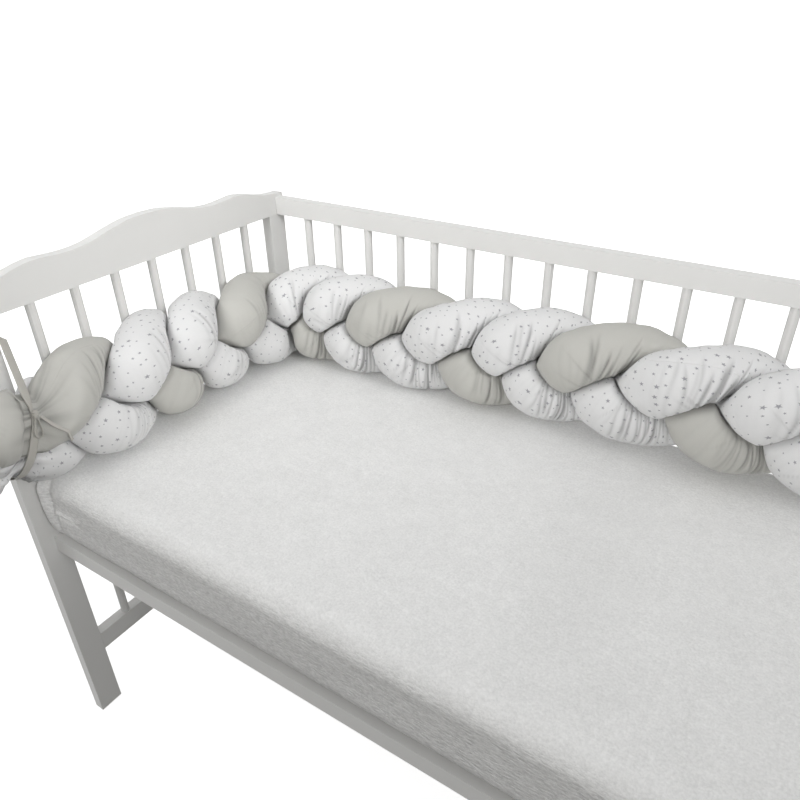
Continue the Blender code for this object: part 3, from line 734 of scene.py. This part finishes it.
# ---- the fitted sheet
def sheet_loop(inset):
    """One level of the sheet: a rectangle with round corners, from the middle of its right end."""
    low = SHEET_LOW[:2] + inset + SHEET_CORNER
    high = SHEET_HIGH[:2] - inset - SHEET_CORNER
    half, middle = (high - low) / 2, (high + low) / 2
    short, long, arc = ((np.arange(n) + 0.5) / n for n in (66, 140, 8))
    turn = arc * math.pi / 2
    right = np.stack([np.full(66, half[0] + SHEET_CORNER), short * half[1]], axis=1)
    corner = half + SHEET_CORNER * np.stack([np.cos(turn), np.sin(turn)], axis=1)
    back = np.stack([(1 - long) * half[0], np.full(140, half[1] + SHEET_CORNER)], axis=1)
    quarter = np.concatenate([right, corner, back])
    turned = quarter[::-1]
    return middle + np.concatenate([quarter, turned * (-1, 1), -quarter, turned * (1, -1)])


def sheet_levels():
    """Inset, height and tilt of the cloth at each level, from below the mattress to its middle."""
    low, high, r = SHEET_LOW[2], SHEET_HIGH[2], SHEET_ROUNDING
    levels = [(inset, low, -math.pi / 2) for inset in (0.28, 0.16, 0.07)]
    for a in np.linspace(0, math.pi / 2, 8, endpoint=False):
        levels.append((r * (1 - math.sin(a)), low + r * (1 - math.cos(a)), a - math.pi / 2))
    levels += [(0.0, z, 0.0) for z in np.linspace(low + r, high - r, 37)]
    for a in np.linspace(0, math.pi / 2, 15)[1:]:
        levels.append((r * (1 - math.cos(a)), high - r * (1 - math.sin(a)), a))
    levels += [(inset, high, math.pi / 2) for inset in np.linspace(r, 0.286, 39)[1:]]
    return levels


def ripples(rng, count, shortest, longest, *places):
    """Between 0 and 1: crossing waves over places given by their coordinates."""
    total = np.zeros(places[0].shape)
    for _ in range(count):
        ways = unit(rng.normal(size=len(places)))
        length = math.exp(rng.uniform(math.log(shortest), math.log(longest)))
        across = sum(w * place for w, place in zip(ways, places))
        total += np.sin(2 * math.pi * across / length + rng.uniform(0, 2 * math.pi))
    return 0.5 + 0.5 * np.tanh(total / math.sqrt(count / 2))


def sheet_relief(points, out, tilt):
    """How far the cloth stands out (or, below nought, in) at each point of the sheet."""
    rng = np.random.default_rng(3)
    x, y, z = (points[..., k] for k in range(3))
    from_end = np.minimum(x - SHEET_LOW[0], SHEET_HIGH[0] - x)
    rise = (z - SHEET_LOW[2]) / (SHEET_HIGH[2] - SHEET_LOW[2])
    upright = np.cos(tilt)[:, None]
    long_side = ramp(np.abs(out[..., 1]), 0.3, 0.9) * upright
    front = long_side * (out[..., 1] < 0)
    relief = -0.0010 * ripples(rng, 9, 0.07, 0.30, x, y) * (1 - upright)
    # The cloth is drawn a little unevenly down the sides.
    relief -= 0.0009 * ripples(rng, 10, 0.05, 0.14, x * 0.5, y * 0.5, z * 2.0) * upright
    # Corner pockets: a seam drawn in, and the slack roll of cloth beyond it.
    seam = np.exp(-(np.abs(from_end - CORNER_SEAM) / 0.0034) ** 1.6)
    relief -= SEAM_DEPTH * seam * long_side
    roll = np.exp(-((from_end - 0.009) / 0.011) ** 2)
    relief += ROLL_HEIGHT * roll * front * ramp(rise, 0.05, 0.6) * (1 - ramp(rise, 0.86, 1.0))
    # A short fold that starts at the seam of each front pocket.
    crest = z - (SHEET_LOW[2] + POCKET_FOLD + 0.06 * (from_end - CORNER_SEAM))
    window = ramp(from_end, 0.030, 0.040) * (1 - ramp(from_end, 0.070, 0.105))
    fold = 0.0034 * np.exp(-(crest / 0.0034) ** 2) - 0.0026 * np.exp(-((crest + 0.0075) / 0.0036) ** 2)
    return relief + fold * window * front


def sheet_mesh(material):
    levels = np.array(sheet_levels())
    loops = np.stack([sheet_loop(inset) for inset in levels[:, 0]])
    heading = np.roll(loops, -1, axis=1) - np.roll(loops, 1, axis=1)
    out = unit(np.stack([heading[..., 1], -heading[..., 0]], axis=-1))
    heights = np.broadcast_to(levels[:, 1][:, None], loops.shape[:2])
    points = np.concatenate([loops, heights[..., None]], axis=-1)
    tilt = levels[:, 2]
    relief = sheet_relief(points, out, tilt)
    # Nothing bulges down on to the slats.
    relief[tilt < -0.01] = np.minimum(relief[tilt < -0.01], 0)
    points[..., :2] += out * (relief * np.cos(tilt)[:, None])[..., None]
    points[..., 2] += relief * np.sin(tilt)[:, None]
    rows, sides = relief.shape
    faces = tube_faces(rows, sides).tolist()
    last = (rows - 1) * sides
    for i in range(sides // 2 - 1):
        strip = (i, i + 1, sides - 2 - i, sides - 1 - i)
        faces.append(tuple(last + k for k in strip))
        faces.append(strip[::-1])
    made = mesh_object("sheeted_mattress", points.reshape(-1, 3), faces)
    finish_piece(made, material, ("mattress_with_sheet",))
    return made


# ---- ties
def hull(points):
    """The convex outline of flat points, as their places in order round it."""
    points = sorted(map(tuple, points))
    found = []
    for row in (points, points[::-1]):
        chain = []
        for p in row:
            while len(chain) > 1:
                (ax, ay), (bx, by) = chain[-2:]
                if (bx - ax) * (p[1] - ay) - (by - ay) * (p[0] - ax) > 0:
                    break
                chain.pop()
            chain.append(p)
        found += chain[:-1]
    return np.array(found)


def ribbon(name, route, flat, width, pleat, material, closed=False):
    """A tape along a route: flat is the way across it, pleat the depth of its lengthwise folds."""
    count = len(route)
    width, pleat = np.broadcast_to(width, count)[:, None], np.broadcast_to(pleat, count)[:, None]
    if closed:
        along = unit(np.roll(route, -1, axis=0) - np.roll(route, 1, axis=0))
    else:
        along = unit(np.gradient(route, axis=0))
    up = unit(np.cross(along, flat))
    across = np.linspace(-1, 1, TAPE_STEPS)
    wave = 0.5 + 0.5 * np.cos(math.pi * (3.1 * across + 0.35))
    half = TAPE_THICKNESS / 2 * np.sqrt(1 - 0.8 * across ** 4)
    spot = route[:, None] + flat[:, None] * (across * width / 2)[..., None]
    layers = [spot + up[:, None] * (pleat * wave + side * half)[..., None] for side in (-1, 1)]
    rings = np.concatenate([layers[0], layers[1][:, ::-1]], axis=1)
    sides = 2 * TAPE_STEPS
    step = np.linalg.norm(np.diff(route, axis=0), axis=1).mean()
    along_uv = np.repeat((np.arange(count + closed) * step)[:, None], sides + 1, axis=1)
    around = np.concatenate([across, across[::-1], across[:1]]) * TAPE_WIDTH / 2
    faces = tube_faces(count, sides, closed).tolist()
    uv = tube_uv(along_uv, around).reshape(-1, 2)
    if not closed:
        faces += [tuple(range(sides))[::-1], tuple(range((count - 1) * sides, count * sides))]
        uv = np.concatenate([uv, np.zeros((2 * sides, 2))])
    made = mesh_object(name, rings.reshape(-1, 3), faces, uv)
    return finish_piece(made, material)


def loop_route(station, tilt, held):
    """Points of the tape's loop round the plait and the upright piece, with their angle round the plait."""
    middle, normal, out, side = tie_plane(station, tilt)
    lift = CLOTH_CLEARANCE + TAPE_THICKNESS / 2
    turn = np.linspace(0, 2 * math.pi, 96, endpoint=False)
    flat = [((NECK_HALF_DEPTH + lift) * math.cos(a), (NECK_HALF_HEIGHT + lift) * math.sin(a)) for a in turn]
    for corner in held:
        for edge in (-TAPE_WIDTH / 2, TAPE_WIDTH / 2):
            away = np.array([corner[0], corner[1], middle[2]]) - middle
            away[2] += (edge - away @ normal) / normal[2]
            flat.append((away @ out, away @ side))
    outline = hull(flat)
    closed = np.concatenate([outline, outline[:1]])
    run = run_along(closed)
    spots = np.linspace(0, run[-1], 260, endpoint=False)
    p, q = np.interp(spots, run, closed[:, 0]), np.interp(spots, run, closed[:, 1])
    angle = np.arctan2(q / NECK_HALF_HEIGHT, p / NECK_HALF_DEPTH)
    return CORNER + middle + p[:, None] * out + q[:, None] * side, angle, normal, run[-1]


def tape_frame(station, tilt, angle):
    """A point on the outside of the tape round the plait, with its ways out and across."""
    middle, normal, out, side = tie_plane(station, tilt)
    lift = CLOTH_CLEARANCE + TAPE_THICKNESS
    p = (NECK_HALF_DEPTH + lift) * math.cos(angle)
    q = (NECK_HALF_HEIGHT + lift) * math.sin(angle)
    away = unit(np.array([p / NECK_HALF_DEPTH ** 2, q / NECK_HALF_HEIGHT ** 2]))
    return CORNER + middle + p * out + q * side, away[0] * out + away[1] * side, normal


def knot_mesh(name, middle, downward, across, outward, material):
    """A small hard knot, its tape wound round it."""
    mesh = bmesh.new()
    bmesh.ops.create_icosphere(mesh, subdivisions=5, radius=0.5)
    ball = np.array([v.co[:] for v in mesh.verts])
    faces = [[v.index for v in f.verts] for f in mesh.faces]
    mesh.free()
    turn = np.arctan2(ball[:, 2], ball[:, 1])
    wound = 0.93 + 0.07 * np.cos(6 * math.pi * ball[:, 0] + 1.3 * np.sin(turn) + 0.8 * turn)
    ball = ball * wound[:, None] * KNOT_SIZE
    points = middle + ball @ np.stack([downward, across, outward])
    return finish_piece(mesh_object(name, points, faces, ball[np.array(faces).ravel()][:, :2]), material)


def cloth_below(trees, spot, outward):
    """How far the outermost cloth lies along the way out from a spot."""
    found = -0.05
    start = Vector(spot + outward * CLOTH_SEARCH)
    for tree in trees:
        hit = tree.ray_cast(start, Vector(-outward), 2 * CLOTH_SEARCH)
        if hit[0] is not None:
            found = max(found, CLOTH_SEARCH - hit[3])
    return found


def free_end(name, start, outward, across, downward, trees, material):
    """The tape's free end, which lies on the cloth away from the knot."""
    share = np.linspace(0, 1, END_STEPS)
    swing = np.radians(END_SWING[0] + (END_SWING[1] - END_SWING[0]) * share)
    steps = across * np.cos(swing)[:, None] + downward * np.sin(swing)[:, None]
    spots = start + np.cumsum(steps * (END_LENGTH / END_STEPS), axis=0)
    lift = np.array([cloth_below(trees, spot, outward) for spot in spots])
    lift = np.maximum(lift, 0) + END_LIFT
    for _ in range(30):
        lift = np.maximum(lift, np.convolve(np.pad(lift, 1, mode="edge"), (0.25, 0.5, 0.25), mode="valid"))
    lift = lift * ramp(share, 0.0, 0.25) + 0.001
    route = spots + lift[:, None] * outward
    run = run_along(route)
    even = np.linspace(0, min(run[-1], END_LENGTH), END_STEPS)
    route = np.stack([np.interp(even, run, route[:, k]) for k in range(3)], axis=1)
    flat = unit(np.cross(np.broadcast_to(outward, route.shape), np.gradient(route, axis=0)))
    flat = -flat if np.cross(np.gradient(route, axis=0)[0], flat[0]) @ outward < 0 else flat
    made = ribbon(name, route, flat, END_WIDTH * (0.75 + 0.25 * ramp(share, 0, 0.4)), 0.0004, material)
    return made, route, even[-1]


def tie_meshes(side, station, tilt, held, trees, material):
    """One tie: its loop, its knot, its bow loop and its free end."""
    route, angle, normal, length = loop_route(station, tilt, held)
    drawn = 1 - ramp(np.abs(angle - KNOT_ANGLE), math.radians(8), KNOT_REACH)
    width = TAPE_WIDTH * (1 - 0.55 * drawn)
    flat = np.broadcast_to(normal, route.shape).copy()
    loop = ribbon(f"{side}_tie_strap", route, flat, width, 0.0003 + 0.0011 * drawn, material, closed=True)
    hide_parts(f"{side}_tie_loop")
    spot, outward, across = tape_frame(station, tilt, KNOT_ANGLE)
    downward = np.cross(outward, across)
    if downward[2] > 0:
        downward = -downward
    middle = spot + outward * (KNOT_SIZE[2] / 2 + KNOT_STAND)
    knot = knot_mesh(f"{side}_tie_wound_knot", middle, downward, across, outward, material)
    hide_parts(f"{side}_tie_knot")
    share = np.linspace(0, 1, 48)[:, None]
    drop = KNOT_SIZE[0] / 2 + BOW_SEAT + BOW_LENGTH * np.sin(math.pi * share) ** 0.75
    aside = 0.0022 * (2 * share - 1) - BOW_SPREAD * np.sin(2 * math.pi * share) * (1 + 0.25 * share)
    sag = BOW_SAG * np.sin(math.pi * share)
    curve = middle + downward * drop + across * aside - outward * sag
    flat = np.broadcast_to(outward, curve.shape)
    bow = ribbon(f"{side}_tie_bow_loop", curve, flat, BOW_WIDTH, 0.0, material)
    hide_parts(f"{side}_tie_bow")
    start = middle + across * (KNOT_SIZE[1] / 2 + 0.0004) + downward * 0.002
    end, path, measured = free_end(f"{side}_tie_free_end", start, outward, across, downward, trees, material)
    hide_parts(f"{side}_tie_end")


def held_pieces():
    """Corners of the upright pieces that the two ties hold on to, in the crib's corner frame."""
    low, high = (np.array(v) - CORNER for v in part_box("left_front_post"))
    gap = WOOD_CLEARANCE
    post = [(x, y) for x in (0.0, low[0] - gap) for y in (low[1] - gap, high[1] + gap)]
    low, high = (np.array(v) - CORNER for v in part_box("back_spindle_16"))
    middle, radius = (low + high) / 2, (high[0] - low[0]) / 2 + gap
    turn = np.linspace(0, 2 * math.pi, 16, endpoint=False)
    spindle = [(middle[0] + radius * math.cos(a), middle[1] + radius * math.sin(a)) for a in turn]
    return post, spindle


# ---- settings
def colour_setting(name, description, colour):
    return FloatVectorProperty(
        name=name, description=description, subtype="COLOR", size=3, min=0.0, max=1.0, default=colour,
    )


def length_setting(name, description, length, least, most):
    return FloatProperty(
        name=name, description=description, default=length, min=least, max=most,
        subtype="DISTANCE", unit="LENGTH",
    )


def power_setting(name, description, power):
    return FloatProperty(name=name, description=description, default=power, min=0.0, max=1000.0, unit="POWER")


def share_setting(name, description, share, most):
    return FloatProperty(name=name, description=description, default=share, min=0.0, max=most)


class CribPaint(bpy.types.PropertyGroup):
    paint_colour: colour_setting("Paint colour", "White paint of the crib", (0.718, 0.716, 0.703))
    edge_round: length_setting("Edge rounding", "Radius of the sanded edges", 0.0022, 0.0, 0.008)


class BumperCloth(bpy.types.PropertyGroup):
    grey_colour: colour_setting("Grey cloth", "Colour of the plain strand", (0.52, 0.515, 0.484))
    star_cloth_colour: colour_setting(
        "Star cloth", "Ground colour of the printed strands", (0.74, 0.74, 0.742),
    )
    star_colour: colour_setting("Stars", "Colour of the printed stars", (0.34, 0.34, 0.36))
    tape_colour: colour_setting("Tape", "Colour of the ties", (0.47, 0.455, 0.42))
    star_spacing: length_setting(
        "Star spacing", "Mean distance between neighbouring stars", 0.0145, 0.005, 0.1,
    )
    star_smallest: length_setting("Smallest star", "From its middle to a point of it", 0.0014, 0.0005, 0.01)
    star_largest: length_setting("Largest star", "From its middle to a point of it", 0.0037, 0.0005, 0.02)
    thread: length_setting("Thread", "Distance between neighbouring threads", 0.0005, 0.0001, 0.005)


class SheetCloth(bpy.types.PropertyGroup):
    sheet_colour: colour_setting("Sheet colour", "Colour of the terry sheet", (0.90, 0.90, 0.893))
    loop_size: length_setting("Terry loops", "Distance between neighbouring loops", 0.0022, 0.0005, 0.01)


class StageLight(bpy.types.PropertyGroup):
    floor_colour: colour_setting("Floor", "Colour of the floor", (0.93, 0.93, 0.93))
    sky_strength: share_setting("Room light", "Light that comes from above and all round", 0.645, 5.0)
    horizon_colour: colour_setting("Horizon", "Colour of the light that comes in level", (1.0, 0.978, 0.925))
    low_light: share_setting("Low light", "Share of it that comes from below", 0.05, 1.0)
    lamp_power: power_setting("Overhead lamp", "Power of the soft lamp over the bed", 2.4)
    softbox_power: power_setting("Front softbox", "Power of the gridded lamp that lights the back side", 3.0)
    side_power: power_setting("Side softbox", "Power of the gridded lamp that lights the left end", 1.24)
    backdrop_glow: share_setting("Backdrop glow", "Own light of the floor and backdrop", 0.7, 2.0)


# ---- operators
class CRIBBUMPER_OT_paint_crib(bpy.types.Operator):
    """Paints the wooden pieces of the crib and rounds their edges"""
    bl_idname = "crib_bumper.paint_crib"
    bl_label = "Paint the crib"

    def execute(self, context):
        settings = context.scene.crib_paint
        paint = paint_material(settings)
        soft = ("strand", "tie_", "mattress")
        for name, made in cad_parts.items():
            if any(word in name for word in soft):
                continue
            made.data.materials.clear()
            made.data.materials.append(paint)
            edge = made.modifiers.new("sanded edges", "BEVEL")
            edge.width = settings.edge_round if "spindle" not in name else 0.0004
            edge.segments = 3
            edge.limit_method = "ANGLE"
            edge.angle_limit = math.radians(50)
            edge.harden_normals = True
            made.data.shade_smooth()
        return {"FINISHED"}


class CRIBBUMPER_OT_plait(bpy.types.Operator):
    """Makes the three stuffed strands of the plait"""
    bl_idname = "crib_bumper.plait"
    bl_label = "Make the plait"

    def execute(self, context):
        settings = context.scene.bumper_cloth
        grey = cotton_material("grey cotton", settings.grey_colour, settings)[0]
        stars = star_material(settings)
        for strand in range(3):
            strand_mesh(strand, grey if strand == 0 else stars)
        return {"FINISHED"}


class CRIBBUMPER_OT_mattress(bpy.types.Operator):
    """Makes the mattress in its fitted terry sheet"""
    bl_idname = "crib_bumper.mattress"
    bl_label = "Make the sheeted mattress"

    def execute(self, context):
        sheet_mesh(terry_material(context.scene.sheet_cloth))
        return {"FINISHED"}


class CRIBBUMPER_OT_ties(bpy.types.Operator):
    """Makes the tapes that tie the plait to the crib"""
    bl_idname = "crib_bumper.ties"
    bl_label = "Make the ties"

    def execute(self, context):
        tape = tape_material(context.scene.bumper_cloth)
        trees = []
        for name in STRANDS:
            cloth = bpy.data.objects.get(name + "_cloth")
            if cloth is None:
                raise RuntimeError("The plait is made before its ties.")
            corners = np.empty(3 * len(cloth.data.vertices))
            cloth.data.vertices.foreach_get("co", corners)
            quads = [tuple(face.vertices) for face in cloth.data.polygons]
            trees.append(BVHTree.FromPolygons(corners.reshape(-1, 3).tolist(), quads))
        for side, (station, tilt), held in zip(("left", "right"), TIES, held_pieces()):
            tie_meshes(side, station, tilt, held, trees, tape)
        return {"FINISHED"}


FLOOR_LEVEL = -0.0005
FLOOR_SIDES = 96
FLOOR_RINGS = ((40.0, 0.0), (300.0, 0.0), (330.0, 12.0), (345.0, 60.0), (350.0, 400.0))  # radius, rise

# name, place, what it points at, diameter or sides, spread, setting of its power.
# A softbox has a honeycomb grid that keeps its light in a narrow beam.
LAMPS = (
    ("overhead lamp", (0.1, 0.0, 2.9), (0.1, 0.05, 0.55), (1.6,), 180, "lamp_power"),
    ("front softbox", (0.10, -2.9, 2.35), (0.0, 0.34, 0.92), (2.6, 0.5), 22, "softbox_power"),
    ("side softbox", (2.4, -0.9, 2.2), (-0.60, -0.05, 0.86), (0.9, 0.5), 24, "side_power"),
)

# The camera, in the crib's own corner frame.
CAMERA_PLACE = np.array([0.9363, -0.9993, 1.1719])
CAMERA_YAW = math.radians(-33.18)       # to the left of the way to the back side
CAMERA_PITCH = math.radians(30.82)      # downwards
CAMERA_ROLL = math.radians(-1.017)
CAMERA_LENS = 30.73                     # mm, on a sensor 36 mm wide


def place_camera():
    yaw, pitch, roll = CAMERA_YAW, CAMERA_PITCH, CAMERA_ROLL
    ahead = Vector((math.cos(pitch) * math.sin(yaw), math.cos(pitch) * math.cos(yaw), -math.sin(pitch)))
    level = Vector((math.cos(yaw), -math.sin(yaw), 0))
    upward = level.cross(ahead)
    right = level * math.cos(roll) + upward * math.sin(roll)
    up = upward * math.cos(roll) - level * math.sin(roll)
    lens = bpy.data.cameras.new("camera")
    lens.sensor_width = 36.0
    lens.lens = CAMERA_LENS
    lens.clip_start = 0.02
    made = linked("camera", lens)
    turn = Matrix((right, up, -ahead)).transposed().to_4x4()
    made.matrix_world = Matrix.Translation(Vector(CAMERA_PLACE + CORNER)) @ turn
    bpy.context.scene.camera = made


def area_light(name, place, target, size, spread, power):
    lamp = bpy.data.lights.new(name, "AREA")
    lamp.shape = "RECTANGLE" if len(size) == 2 else "DISK"
    lamp.size = size[0]
    if len(size) == 2:
        lamp.size_y = size[1]
        lamp.spread = math.radians(spread)
    lamp.energy = power
    made = linked(name, lamp)
    heading = Vector(target) - Vector(place)
    made.location = place
    made.rotation_euler = heading.to_track_quat("-Z", "Y").to_euler()


def light_room(scene, settings):
    """Even light from above and little from below, a little warmer where it comes in level."""
    world = bpy.data.worlds.new("room")
    world.use_nodes = True
    tree = world.node_tree
    heading = add(tree, "TexCoord").outputs["Generated"]
    rise = axes(tree, heading)[2]
    level = settings.horizon_colour
    sky = shaded(tree, mapped(tree, rise, 0.0, 0.5), level, (1.0, 1.0, 1.0))
    share = mapped(tree, rise, -0.10, 0.0, smooth=True)
    air = shaded(tree, share, tinted(level, settings.low_light), sky)
    tree.links.new(air, tree.nodes["Background"].inputs["Color"])
    tree.nodes["Background"].inputs["Strength"].default_value = settings.sky_strength
    scene.world = world


def make_floor(settings):
    """A pale floor that turns up far away into a backdrop of the same colour."""
    angles = [2 * math.pi * i / FLOOR_SIDES for i in range(FLOOR_SIDES)]
    points = [
        (radius * math.cos(a), radius * math.sin(a), FLOOR_LEVEL + rise)
        for radius, rise in FLOOR_RINGS for a in angles
    ]
    faces = tube_faces(len(FLOOR_RINGS), FLOOR_SIDES)[:, ::-1].tolist()
    faces += [(len(points), i, (i + 1) % FLOOR_SIDES) for i in range(FLOOR_SIDES)]
    floor = mesh_object("floor", points + [(0.0, 0.0, FLOOR_LEVEL)], faces)
    finish, _, shader = new_material("pale floor", settings.floor_colour, 0.9)
    shader.inputs["Emission Color"].default_value = (1.0, 1.0, 1.0, 1.0)
    shader.inputs["Emission Strength"].default_value = settings.backdrop_glow
    floor.data.materials.append(finish)
    # It is seen, but it neither glows on the crib nor keeps the room's light from it.
    floor.visible_diffuse = False
    floor.visible_shadow = False
    return floor


class CRIBBUMPER_OT_stage(bpy.types.Operator):
    """Sets the floor, the light and the camera"""
    bl_idname = "crib_bumper.stage"
    bl_label = "Set the stage"

    def execute(self, context):
        settings = context.scene.stage_light
        scene = context.scene
        floor = make_floor(settings)
        light_room(scene, settings)
        for *lamp, power in LAMPS:
            area_light(*lamp, getattr(settings, power))
        scene.view_settings.view_transform = "Standard"
        scene.view_settings.look = "None"
        place_camera()
        return {"FINISHED"}


class CRIBBUMPER_PT_panel(bpy.types.Panel):
    """Lists the steps that dress the crib"""
    bl_label = "Plaited crib bumper"
    bl_idname = "CRIBBUMPER_PT_panel"
    bl_space_type = "VIEW_3D"
    bl_region_type = "UI"
    bl_category = "Crib bumper"

    def draw(self, context):
        for group in GROUPS:
            box = self.layout.box()
            box.label(text=group.__name__)
            settings = getattr(context.scene, GROUPS[group])
            for key in group.__annotations__:
                box.prop(settings, key)
        for step in STEPS:
            self.layout.operator(step.bl_idname)


GROUPS = {
    CribPaint: "crib_paint",
    BumperCloth: "bumper_cloth",
    SheetCloth: "sheet_cloth",
    StageLight: "stage_light",
}
STEPS = (
    CRIBBUMPER_OT_stage,
    CRIBBUMPER_OT_paint_crib,
    CRIBBUMPER_OT_mattress,
    CRIBBUMPER_OT_plait,
    CRIBBUMPER_OT_ties,
)


def register():
    for group, place in GROUPS.items():
        bpy.utils.register_class(group)
        setattr(bpy.types.Scene, place, PointerProperty(type=group))
    for step in STEPS:
        bpy.utils.register_class(step)
    bpy.utils.register_class(CRIBBUMPER_PT_panel)


def unregister():
    bpy.utils.unregister_class(CRIBBUMPER_PT_panel)
    for step in reversed(STEPS):
        bpy.utils.unregister_class(step)
    for group, place in GROUPS.items():
        delattr(bpy.types.Scene, place)
        bpy.utils.unregister_class(group)


def main():
    register()
    for step in STEPS:
        module, name = step.bl_idname.split(".")
        getattr(getattr(bpy.ops, module), name)()


if __name__ == "__main__":
    main()
